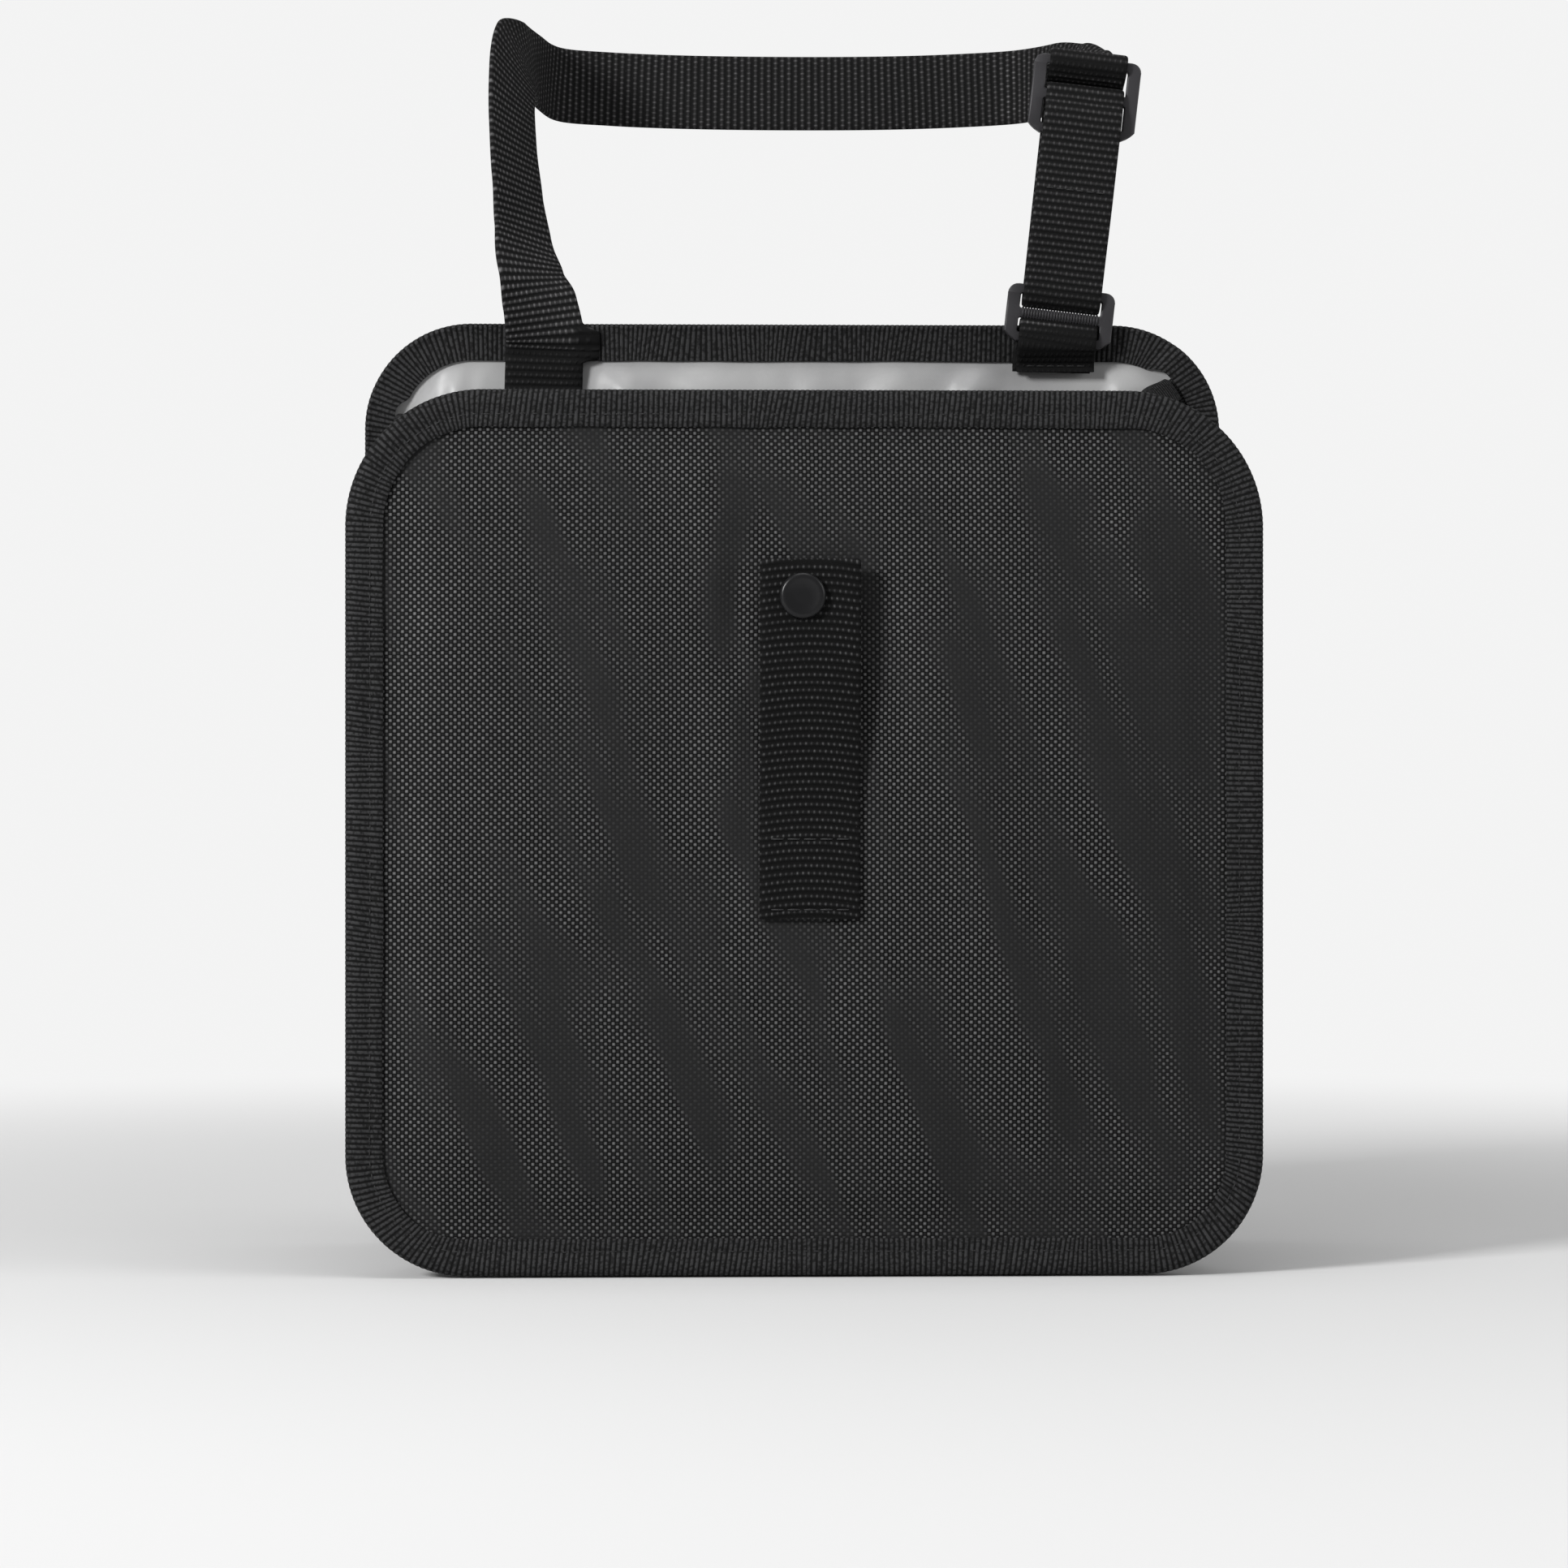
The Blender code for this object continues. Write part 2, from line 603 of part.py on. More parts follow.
def strap_route():
    """Return the stops of the hanging strap and the way its width points."""
    right = Vector((1, 0, 0))
    down = Vector((0, 0, -1))
    x = LEFT_STRAP_X
    left = [
        ((x, STRAP_ON_LINING, BACK_TOP_Z - ANCHOR_DEPTH), right),
        ((x, STRAP_ON_LINING, BACK_TOP_Z - 0.024), right),
        ((x + 0.0003, STRAP_ON_BINDING - 0.0004, BACK_TOP_Z - 0.013), right),
        ((x + 0.0006, STRAP_ON_BINDING - 0.0008, BACK_TOP_Z - 0.005), turned_side(3)),
        ((x - 0.0010, STRAP_ON_BINDING - 0.0022, BACK_TOP_Z + 0.006), turned_side(17)),
        ((x - 0.0040, STRAP_ON_BINDING + 0.0002, BACK_TOP_Z + 0.017), turned_side(35)),
        ((x - 0.0066, 0.0030, BACK_TOP_Z + 0.030), turned_side(48)),
        ((x - 0.0086, 0.0080, BACK_TOP_Z + 0.046), turned_side(54)),
        ((x - 0.0102, 0.0145, BACK_TOP_Z + 0.064), (0.55, 0.80, -0.12)),
        ((x - 0.0106, 0.0225, BACK_TOP_Z + 0.080), (0.55, 0.72, -0.40)),
        ((x - 0.0096, 0.0350, LOOP_TOP + 0.0030), (0.50, 0.45, -0.80)),
        ((-LOOP_HALF_WIDTH - 0.0020, 0.0510, LOOP_TOP + 0.0040), (0.20, 0.10, -1)),
        ((-LOOP_HALF_WIDTH + 0.0010, 0.0670, LOOP_TOP + 0.0020), down),
    ]
    behind = [
        ((-LOOP_HALF_WIDTH + 0.0075, LOOP_DEPTH - 0.0060, LOOP_TOP), down),
        ((-LOOP_HALF_WIDTH + 0.0240, LOOP_DEPTH, LOOP_TOP - 0.0006), down),
        ((-LOOP_HALF_WIDTH / 3, LOOP_DEPTH + 0.0006, LOOP_TOP - 0.0016), down),
        ((LOOP_HALF_WIDTH / 3, LOOP_DEPTH + 0.0006, LOOP_TOP - 0.0016), down),
        ((LOOP_HALF_WIDTH - 0.0240, LOOP_DEPTH, LOOP_TOP - 0.0006), down),
        ((LOOP_HALF_WIDTH - 0.0040, LOOP_DEPTH - 0.0060, LOOP_TOP), down),
        ((LOOP_HALF_WIDTH + 0.0045, 0.0650, LOOP_TOP), (-0.15, 0, -1)),
    ]
    flat = -LEAN_SIDE
    top_bar = SLIDER_RISE + SLIDER_BAR
    over = leaning(top_bar, 0.0)
    coming = [
        ((over.x - 0.0022, 0.0460, LOOP_TOP - 0.0010), (-0.55, 0.05, -0.85)),
        ((over.x - 0.0012, 0.0290, LOOP_TOP - 0.0008), (-0.9, 0, -0.4)),
        ((over.x - 0.0004, 0.0130, over.z + WRAP_RADIUS + 0.0006), flat),
    ]
    rise = SLIDER_RISE
    end_rise = STRAP_END_RISE
    middle = rise / 2
    buckled = wrap(top_bar, 90, 215, 5)
    buckled += [
        leaning(rise + 0.0070, 0.0002),
        leaning(rise + 0.0044, WRAP_RADIUS + LAYER_STEP - 0.0006),
        leaning(rise - 0.0020, WRAP_RADIUS + LAYER_STEP + 0.0001),
        leaning(rise - 0.0140, WRAP_RADIUS + LAYER_STEP),
        leaning(middle, WRAP_RADIUS + 0.0010),
        leaning(RING_BAR + 0.012, WRAP_RADIUS + 0.0001),
        leaning(RING_BAR + 0.003, WRAP_RADIUS),
    ]
    buckled += wrap(RING_BAR, 0, -180, 6, RING_WRAP_SAG)
    front_layer = -WRAP_RADIUS - LAYER_STEP
    buckled += [
        leaning(RING_BAR + 0.003, -WRAP_RADIUS),
        leaning(RING_BAR + 0.012, -WRAP_RADIUS - 0.0003),
        leaning(end_rise - 0.005, front_layer + 0.0002),
        leaning(end_rise + 0.006, front_layer),
        leaning(rise - SLIDER_BAR - 0.004, front_layer),
        leaning(rise - SLIDER_BAR + 0.0030, front_layer),
        leaning(rise - 0.0048, front_layer + 0.0005),
        leaning(rise - 0.0018, -WRAP_RADIUS - 0.0002),
    ]
    buckled += wrap(rise, 160, 0, 6)
    buckled += [
        leaning(rise - 0.0022, WRAP_RADIUS - 0.0004),
        leaning(rise - 0.0052, 0.0006),
        leaning(rise - SLIDER_BAR + 0.0028, -WRAP_RADIUS + 0.0003),
        leaning(rise - SLIDER_BAR - 0.0010, -WRAP_RADIUS),
        leaning(rise - SLIDER_BAR - 0.0080, -WRAP_RADIUS),
        leaning(end_rise, -WRAP_RADIUS),
    ]
    return left + behind + coming + [(point, flat) for point in buckled]


def tab_route():
    """Return the stops of the short tab that holds the ring to the bag."""
    right = Vector((1, 0, 0))
    low = BACK_TOP_Z - TAB_DEPTH
    bar = leaning(-RING_BAR, 0)
    stops = [
        ((TAB_X, STRAP_ON_BINDING, low), right),
        ((TAB_X, STRAP_ON_BINDING, bar.z - 0.0045), right),
    ]
    for k in range(9):
        angle = math.radians(180 * k / 8)
        point = bar + LEAN_UP * (TAB_LOOP_RISE * math.sin(angle))
        point.y += WRAP_RADIUS * math.cos(angle)
        stops.append((point, LEAN_SIDE))
    front = STRAP_ON_BINDING - LAYER_STEP
    stops += [
        ((TAB_X, BUCKLE_Y - WRAP_RADIUS + 0.0002, bar.z - 0.0025), right),
        ((TAB_X, front - 0.0016, low + 0.0044), right),
        ((TAB_X, front, low + 0.0023), right),
        ((TAB_X, front, low), right),
    ]
    return stops


def make_buckle(name, height, rise, material):
    """Build a three-bar buckle, moulded with eased edges and two slots."""
    half_w = BUCKLE_WIDTH / 2
    half_h = height / 2
    cut = BUCKLE_CORNER
    outline = [
        (-half_w + cut * 0.4, half_h), (half_w - cut * 0.4, half_h),
        (half_w, half_h - cut * 0.4), (half_w, -half_h + cut),
        (half_w - cut, -half_h), (-half_w + cut, -half_h),
        (-half_w, -half_h + cut), (-half_w, half_h - cut * 0.4),
    ]
    mesh_data = bmesh.new()
    half_t = BUCKLE_THICKNESS / 2
    front = [mesh_data.verts.new((x, -half_t, z)) for x, z in outline]
    back = [mesh_data.verts.new((x, half_t, z)) for x, z in outline]
    mesh_data.faces.new(front)
    mesh_data.faces.new(back)
    for k in range(len(outline)):
        n = (k + 1) % len(outline)
        mesh_data.faces.new((front[k], front[n], back[n], back[k]))
    buckle = finish_object(name, mesh_data, material)
    slot_height = (height - 3 * BUCKLE_BAR) / 2
    offset = (slot_height + BUCKLE_BAR) / 2
    for side in (1, -1):
        cutter_data = bmesh.new()
        bmesh.ops.create_cube(cutter_data, size=1.0)
        for vert in cutter_data.verts:
            vert.co.x *= BUCKLE_SLOT_WIDTH
            vert.co.y *= BUCKLE_THICKNESS * 3
            vert.co.z = vert.co.z * slot_height + side * offset
        place = "upper" if side > 0 else "lower"
        cutter = finish_object(name + "_cutter_" + place, cutter_data, material)
        cut_with(buckle, cutter)
    bevel = buckle.modifiers.new("ease", "BEVEL")
    bevel.width = BAR_EASE
    bevel.segments = 1
    bevel.limit_method = "ANGLE"
    buckle.location = leaning(rise, 0)
    buckle.rotation_euler = (0, STRAP_LEAN, 0)
    return buckle


def cut_with(item, cutter):
    """Subtract a hidden cutter from an object."""
    cutter.hide_render = True
    cutter.display_type = "WIRE"
    cutter.parent = item
    modifier = item.modifiers.new("cut_" + cutter.name, "BOOLEAN")
    modifier.operation = "DIFFERENCE"
    modifier.solver = "EXACT"
    modifier.object = cutter


def hole_cutter(name, y, radius, length, material):
    """Return a round cutter on the snap's axis, centred at a depth."""
    rings = [circle(radius, y - length / 2), circle(radius, y + length / 2)]
    return finish_object(name, skin(rings, False), material)


def circle(radius, y):
    """Return the points of a circle about the snap's axis."""
    ring = []
    for k in range(TURNING_STEPS):
        angle = 2 * math.pi * k / TURNING_STEPS
        ring.append(Vector((SNAP_X + radius * math.cos(angle), y,
                            SNAP_Z + radius * math.sin(angle))))
    return ring


def turned(name, profile, base_y, material, ring_shaped=False):
    """Build a round piece about the snap's axis, from radius and depth pairs."""
    rings = [circle(radius, base_y - depth) for radius, depth in profile]
    return finish_object(name, skin(rings, ring_shaped), material)


# Stack of the snap, outwards from the front panel's face
SNAP_PANEL_Y = FRONT_Y - panel_depth(SNAP_X, SNAP_Z)
SOCKET_AT = PLY_GAP + SNAP_FLANGE + PLY_GAP
HEM_AT = SOCKET_AT + SOCKET_HEIGHT + PLY_GAP
LAYER_AT = HEM_AT + WEB_THICKNESS + PLY_GAP
CAP_AT = LAYER_AT + WEB_THICKNESS + PLY_GAP


def make_snap(black, metal):
    """Build the four pieces of the snap fastener."""
    post_end = SOCKET_AT + SOCKET_HEIGHT - SNAP_POST_GAP
    turned("snap_cap", (
        (SNAP_POST_RADIUS, post_end), (SNAP_POST_RADIUS, CAP_AT),
        (SNAP_CAP_RADIUS, CAP_AT), (SNAP_CAP_RADIUS, CAP_AT + SNAP_CAP_HEIGHT * 0.45),
        (SNAP_CAP_RADIUS * 0.88, CAP_AT + SNAP_CAP_HEIGHT * 0.85),
        (SNAP_CAP_RADIUS * 0.60, CAP_AT + SNAP_CAP_HEIGHT),
    ), SNAP_PANEL_Y, black)
    turned("snap_socket", (
        (SOCKET_BORE, SOCKET_AT), (SNAP_FLANGE_RADIUS * 0.8, SOCKET_AT),
        (SNAP_FLANGE_RADIUS, SOCKET_AT + SOCKET_HEIGHT * 0.5),
        (SNAP_FLANGE_RADIUS, SOCKET_AT + SOCKET_HEIGHT),
        (SOCKET_BORE, SOCKET_AT + SOCKET_HEIGHT),
    ), SNAP_PANEL_Y, metal, True)
    stud_top = post_end - SNAP_POST_GAP
    stud_bore_end = stud_top - SNAP_FLANGE
    turned("snap_stud", (
        (SNAP_HOLE_RADIUS, stud_bore_end), (SNAP_HOLE_RADIUS, PLY_GAP),
        (SNAP_FLANGE_RADIUS, PLY_GAP), (SNAP_FLANGE_RADIUS, PLY_GAP + SNAP_FLANGE * 0.7),
        (STUD_RADIUS, PLY_GAP + SNAP_FLANGE), (STUD_RADIUS, stud_top),
    ), SNAP_PANEL_Y, metal)
    inner = SNAP_PANEL_Y - front_lining_face(SNAP_X, SNAP_Z) - LINING - PLY_GAP
    turned("snap_post_back", (
        (SNAP_FLANGE_RADIUS, inner - SNAP_FLANGE), (SNAP_FLANGE_RADIUS, inner),
        (SNAP_POST_RADIUS, inner), (SNAP_POST_RADIUS, stud_bore_end - PLY_GAP),
    ), SNAP_PANEL_Y, metal)


def snap_strap_centre(z):
    """Return the depth of the snap strap's front layer at a height."""
    on_panel = front_face(SNAP_STRAP_X, z) - PLY_GAP - WEB_THICKNESS / 2
    at_snap = SNAP_PANEL_Y - LAYER_AT - WEB_THICKNESS / 2
    lift = smooth_step((z - SEW_UPPER_Z - 0.006) / (SNAP_Z - SEW_UPPER_Z - 0.022))
    return mix(on_panel, at_snap, lift)


def make_snap_strap(material):
    """Build the folded strap that carries the snap."""
    side = Vector((1, 0, 0))
    stops = []
    steps = 9
    turn = LAYER_STEP / 2
    top = SNAP_STRAP_TOP - turn - WEB_THICKNESS / 2
    for k in range(steps + 1):
        z = mix(SNAP_STRAP_BOTTOM, top - 0.001, k / steps)
        stops.append(((SNAP_STRAP_X, snap_strap_centre(z), z), side))
    centre_y = snap_strap_centre(top) + turn
    for k in range(5):
        angle = math.pi * k / 4
        y = centre_y - turn * math.cos(angle)
        stops.append(((SNAP_STRAP_X, y, top + turn * math.sin(angle)), side))
    for z in (top - 0.004, SNAP_Z, top - SNAP_HEM):
        stops.append(((SNAP_STRAP_X, snap_strap_centre(z) + LAYER_STEP, z), side))
    rings = ribbon_rings(stops, SNAP_STRAP_WIDTH, WEB_THICKNESS)
    strap = finish_object("snap_strap", skin(rings, False), material)
    middle = SNAP_PANEL_Y - LAYER_AT
    cut_with(strap, hole_cutter("strap_hole_cutter", middle, SNAP_HOLE_RADIUS,
                                6 * WEB_THICKNESS, material))


def make_stitches(name, corners, face, material):
    """Build one sewn row as a thread that dips between its stitches."""
    line = []
    half = THREAD / 2
    for a, b in zip(corners[:-1], corners[1:]):
        a = Vector(a)
        b = Vector(b)
        stitches = max(round((b - a).length / STITCH_PITCH), 1)
        for k in range(stitches * 4):
            lift = (0.0, 0.7, 1.0, 0.7)[k % 4]
            line.append((a.lerp(b, k / (stitches * 4)), lift))
    line.append((Vector(corners[-1]), 0.0))
    rings = []
    for i, (point, lift) in enumerate(line):
        before = line[max(i - 1, 0)][0]
        after = line[min(i + 1, len(line) - 1)][0]
        along = (after - before).normalized()
        across = Vector((-along.y, along.x))
        y = face(point.x, point.y) - PLY_GAP - half
        wide = mix(0.6, 1.0, lift) * half
        deep = mix(0.5, 1.0, lift) * half
        centre = Vector((point.x, y + half - deep, point.y))
        side = Vector((across.x, 0, across.y)) * wide
        out = Vector((0, -deep, 0))
        rings.append([centre + side + out, centre - side + out,
                      centre - side - out, centre + side - out])
    return finish_object(name, skin(rings, False), material)


def make_stitching(material):
    """Build the sewn rows that hold the straps."""
    left = SNAP_STRAP_X - SNAP_STRAP_WIDTH / 2 + SEW_MARGIN
    right = SNAP_STRAP_X + SNAP_STRAP_WIDTH / 2 - SEW_MARGIN

    def strap_face(_x, z):
        return snap_strap_centre(z) - WEB_THICKNESS / 2

    for name, z in (("snap_stitch_upper", SEW_UPPER_Z), ("snap_stitch_lower", SEW_LOWER_Z)):
        make_stitches(name, ((left, z), (right, z)), strap_face, material)

    def anchor_face(_x, _z):
        return STRAP_ON_LINING - WEB_THICKNESS / 2

    half = WEB_WIDTH / 2 - SEW_MARGIN
    low = BACK_TOP_Z - ANCHOR_DEPTH + SEW_MARGIN
    high = low + 0.017
    box = ((-half, low), (half, low), (half, high), (-half, high), (-half, low + THREAD * 2))
    corners = [(LEFT_STRAP_X + x, z) for x, z in box]
    make_stitches("anchor_stitch", corners, anchor_face, material)

    def tab_face(_x, _z):
        return STRAP_ON_BINDING - LAYER_STEP - WEB_THICKNESS / 2

    row = BACK_TOP_Z - TAB_DEPTH + TAB_SEW_RISE
    make_stitches("tab_stitch", ((TAB_X - half, row), (TAB_X + half, row)), tab_face, material)

    def layer_face(_x, _z):
        return BUCKLE_Y - WRAP_RADIUS - LAYER_STEP - WEB_THICKNESS / 2

    seam = leaning(STRAP_END_RISE + SEW_MARGIN, 0)
    ends = (seam - LEAN_SIDE * half, seam + LEAN_SIDE * half)
    make_stitches("slider_stitch", [(end.x, end.z) for end in ends], layer_face, material)


def build():
    """Build every piece of the bag."""
    clear_scene()
    cloth = make_material("black_cloth", (0.030, 0.030, 0.031), 0.62)
    lining = make_material("grey_lining", (0.42, 0.42, 0.42), 0.38)
    tape = make_material("black_tape", (0.024, 0.024, 0.025), 0.70)
    webbing = make_material("black_webbing", (0.018, 0.018, 0.019), 0.66)
    moulded = make_material("grey_moulding", (0.050, 0.049, 0.053), 0.42)
    cap = make_material("black_cap", (0.016, 0.016, 0.017), 0.26)
    metal = make_material("snap_metal", (0.32, 0.32, 0.33), 0.30, 1.0)
    thread = make_material("black_thread", (0.022, 0.022, 0.023), 0.60)

    front_panel = make_sheet("front_panel", FRONT, PANEL_CELLS, front_face, FABRIC, cloth)
    front_lining = make_sheet("front_lining", FRONT, LINING_CELLS, front_lining_face,
                              LINING, lining)
    make_sheet("back_panel", BACK, LINING_CELLS, back_face, FABRIC, cloth)
    make_sheet("back_lining", BACK, LINING_CELLS, back_lining_face, LINING, lining)
    for item in (front_panel, front_lining):
        reach = 4 * (PANEL_BULGE + LINING_SLACK)
        cutter = hole_cutter(item.name + "_cutter", SNAP_PANEL_Y, SNAP_HOLE_RADIUS, reach, cloth)
        cut_with(item, cutter)

    make_gusset(cloth, lining)
    make_binding("front_binding", FRONT, FRONT_Y, 1, (LEFT_END_FRONT, RIGHT_END_FRONT), tape)
    make_binding("back_binding", BACK, 0.0, -1, (LEFT_END_BACK, RIGHT_END_BACK), tape)
    front, back = gusset_runs()
    make_rim_binding("left_rim_binding", front[2::-1], back[2::-1], -1, tape)
    make_rim_binding("right_rim_binding", front[-3:], back[-3:], 1, tape)

    rings = ribbon_rings(strap_route(), WEB_WIDTH, WEB_THICKNESS)
    finish_object("hanging_strap", skin(rings, False), webbing)
    rings = ribbon_rings(tab_route(), WEB_WIDTH, WEB_THICKNESS)
    finish_object("ring_tab", skin(rings, False), webbing)
    make_buckle("strap_slider", SLIDER_HEIGHT, SLIDER_RISE, moulded)
    make_buckle("strap_ring", RING_HEIGHT, 0.0, moulded)

    make_snap_strap(webbing)
    make_snap(cap, metal)
    make_stitching(thread)


build()
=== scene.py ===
"""Looks of a hanging storage bag of black woven cloth with a webbing loop.

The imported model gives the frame: metres, +Z up, the front panel faces -Y and
the origin is the centre of the back panel's rear face.
"""

import logging
import math
from dataclasses import dataclass, field
from enum import Enum
from typing import Callable, Iterable, Sequence

import bmesh
import bpy
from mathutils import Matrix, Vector, noise


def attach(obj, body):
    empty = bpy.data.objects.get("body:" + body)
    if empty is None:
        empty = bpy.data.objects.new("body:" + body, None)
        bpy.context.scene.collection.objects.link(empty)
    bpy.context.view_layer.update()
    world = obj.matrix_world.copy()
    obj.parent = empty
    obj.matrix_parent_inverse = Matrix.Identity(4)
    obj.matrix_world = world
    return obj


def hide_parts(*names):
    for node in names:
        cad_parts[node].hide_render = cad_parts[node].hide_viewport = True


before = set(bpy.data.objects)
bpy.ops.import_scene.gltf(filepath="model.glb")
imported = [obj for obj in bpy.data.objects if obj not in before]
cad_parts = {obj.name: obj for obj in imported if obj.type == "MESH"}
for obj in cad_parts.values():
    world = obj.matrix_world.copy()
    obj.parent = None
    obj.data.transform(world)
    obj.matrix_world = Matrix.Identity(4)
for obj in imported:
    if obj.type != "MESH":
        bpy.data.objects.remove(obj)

LOG = logging.getLogger("hanging_bag")
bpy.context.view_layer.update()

Stop = tuple[Vector, Vector]
Ring = list[Vector]
Pair = tuple[float, float]
Triple = tuple[float, float, float]
Surface = Callable[[float, float], float]
UvRule = Callable[[int, int], Pair]
Piece = bpy.types.Object
Material = bpy.types.Material
Tree = bpy.types.NodeTree
Node = bpy.types.Node
Socket = bpy.types.NodeSocket

QUARTER = math.pi / 2
HAIR = 1e-9
FRONTWARDS = Vector((0, -1, 0))


# Sizes that the pieces share


@dataclass(frozen=True)
class BagSizes:
    """Sizes that several pieces share, in metres, as in the part's source.

    A leg is how far tape reaches over a panel. Names in _at, and the depths of
    the top edge and the seam, are counted inwards from a panel's outer face.
    """

    width: float = 0.275
    back_height: float = 0.295
    front_height: float = 0.265
    depth: float = 0.110
    fabric: float = 0.0008
    lining: float = 0.0004
    tape: float = 0.0007
    gap: float = 0.0003
    seam_inset: float = 0.0105
    tip_clearance: float = 0.0012
    outer_leg: float = 0.0112
    inner_leg: float = 0.0092
    free_leg: float = 0.0118
    edge_flat: float = 0.0018
    rib: float = 0.00156
    web_width: float = 0.025
    web_thickness: float = 0.0016
    web_row: float = 0.00228
    left_strap_x: float = -0.0804
    tab_x: float = 0.0842
    snap_strap_x: float = 0.001
    snap_strap_width: float = 0.030
    snap_strap_top: float = 0.0666
    snap_strap_bottom: float = -0.0406
    half_width: float = width / 2
    bottom: float = -back_height / 2
    back_top: float = back_height / 2
    front_top: float = bottom + front_height
    front_y: float = -depth
    lining_at: float = fabric + gap
    top_depth: float = lining_at + lining
    gusset_lining_at: float = top_depth + gap
    gusset_at: float = gusset_lining_at + lining + gap
    seam_depth: float = gusset_at + fabric
    ply_inset: float = tape + tip_clearance


BAG = BagSizes()


def eased(value: float) -> float:
    """Ease a value between 0 and 1."""
    value = min(max(value, 0.0), 1.0)
    return value * value * (3.0 - 2.0 * value)


def mix(low: float, high: float, share: float) -> float:
    """Return the value at a share of the way from low to high."""
    return low + (high - low) * share


def arch(share: float) -> float:
    """Return a round rise that is 0 at a share of 0 and of 1, and 1 halfway."""
    return math.sin(math.pi * min(max(share, 0.0), 1.0))


def ripple(x: float, y: float, z: float) -> float:
    """Return smooth noise between about -1 and 1, the same on each run."""
    return noise.noise(Vector((x, y, z)))


# Node trees and the shared effects


class Graph:
    """Short words for building a node tree."""

    def __init__(self, tree: Tree) -> None:
        """Keep the tree of a material, world or group that the nodes go into."""
        self.tree = tree

    def add(self, kind: str, **settings: object) -> Node:
        """Return a new node with its settings.

        Args:
            kind: Blender's type name of the node.
            **settings: Properties to set on it.

        Returns:
            The node.
        """
        node = self.tree.nodes.new(kind)
        for name, value in settings.items():
            setattr(node, name, value)
        return node

    def feed(self, socket: Socket, value: object) -> None:
        """Link a socket to another, or set its value.

        Args:
            socket: The input socket.
            value: An output socket, a number or a sequence.
        """
        if isinstance(value, Socket):
            self.tree.links.new(value, socket)
        else:
            socket.default_value = value

    def dress(self, node: Node, **values: object) -> Node:
        """Feed a node's inputs, by name with spaces as underscores, and return it."""
        for name, value in values.items():
            self.feed(node.inputs[name.replace("_", " ")], value)
        return node

    def value(self, kind: str, output: str, settings: dict[str, object], **inputs: object) -> Socket:
        """Add a node with its settings, feed its inputs and return one of its outputs."""
        return self.dress(self.add(kind, **settings), **inputs).outputs[output]

    def math(self, operation: str, *values: object, clamp: bool = False) -> Socket:
        """Return the result of a math node.

        Args:
            operation: Blender's name of the operation.
            *values: Its numbers or sockets.
            clamp: Whether the result stays between 0 and 1.

        Returns:
            The result's socket.
        """
        node = self.add("ShaderNodeMath", operation=operation, use_clamp=clamp)
        for socket, value in zip(node.inputs, values):
            self.feed(socket, value)
        return node.outputs[0]

    def plus(self, a: object, b: object) -> Socket:
        """Return the sum of two values."""
        return self.math("ADD", a, b)

    def times(self, product: object, *factors: object) -> Socket:
        """Return the product of two or more values."""
        for factor in factors:
            product = self.math("MULTIPLY", product, factor)
        return product

    def cut(self) -> Socket:
        """Return the place on the piece's own map, across and then along."""
        return self.add("ShaderNodeUVMap", uv_map="cut").outputs[0]

    def object_place(self) -> Socket:
        """Return the place in the object's own coordinates."""
        return self.add("ShaderNodeTexCoord").outputs["Object"]

    def split(self, vector: object) -> bpy.types.NodeOutputs:
        """Return the X, Y and Z of a vector."""
        return self.dress(self.add("ShaderNodeSeparateXYZ"), Vector=vector).outputs

    def noise(self, vector: object, scale: float, detail: float) -> Socket:
        """Return smooth noise from 0 to 1."""
        return self.value("ShaderNodeTexNoise", "Fac", {}, Vector=vector, Scale=scale, Detail=detail)

    def ramp(self, value: object, low: float, high: float, to_low: float = 0.0, to_high: float = 1.0) -> Socket:
        """Return a value eased from the range low to high to the range to_low to to_high."""
        limits = {"From_Min": low, "From_Max": high, "To_Min": to_low, "To_Max": to_high}
        smooth = {"interpolation_type": "SMOOTHSTEP"}
        return self.value("ShaderNodeMapRange", "Result", smooth, Value=value, **limits)

    def blend(self, share: object, low: object, high: object) -> Socket:
        """Return a colour that is low at a share of 0 and high at 1."""
        ends = {"A": opaque(low), "B": opaque(high)}
        return self.value("ShaderNodeMix", "Result", {"data_type": "RGBA"}, Factor=share, **ends)

    def linted(self, wear_and_shade: Node, colour: Socket) -> Socket:
        """Return a colour with the sparse pale lint of handling on it."""
        return self.blend(self.times(wear_and_shade.outputs["Lint"], LINT_SHARE), colour, LINT_COLOUR)

    def bump(self, height: object, distance: float, strength: float, **start: object) -> Socket:
        """Return a normal bent by a height, from the mesh's own or a given Normal."""
        start |= {"Height": height, "Distance": distance, "Strength": strength}
        return self.value("ShaderNodeBump", "Normal", {}, **start)

    def patches(self, vector: object, across: float, along: float, turn: float = 0.0) -> Socket:
        """Return a place counted in patches of a given width, length and turn."""
        shape = {"Scale": (across, along, across), "Rotation": (0.0, 0.0, turn)}
        return self.value("ShaderNodeMapping", "Vector", {"vector_type": "TEXTURE"}, Vector=vector, **shape)

    def group(self, tree: Tree, **values: object) -> Node:
        """Place a shared node group and feed its inputs."""
        return self.dress(self.add("ShaderNodeGroup", node_tree=tree), **values)


LINT_COLOUR = (0.10, 0.10, 0.10)
LINT_SHARE = 0.2


def opaque(colour: object) -> object:
    """Return a plain colour with full opacity, or a socket as it is."""
    return (*colour[:3], 1.0) if isinstance(colour, tuple) else colour


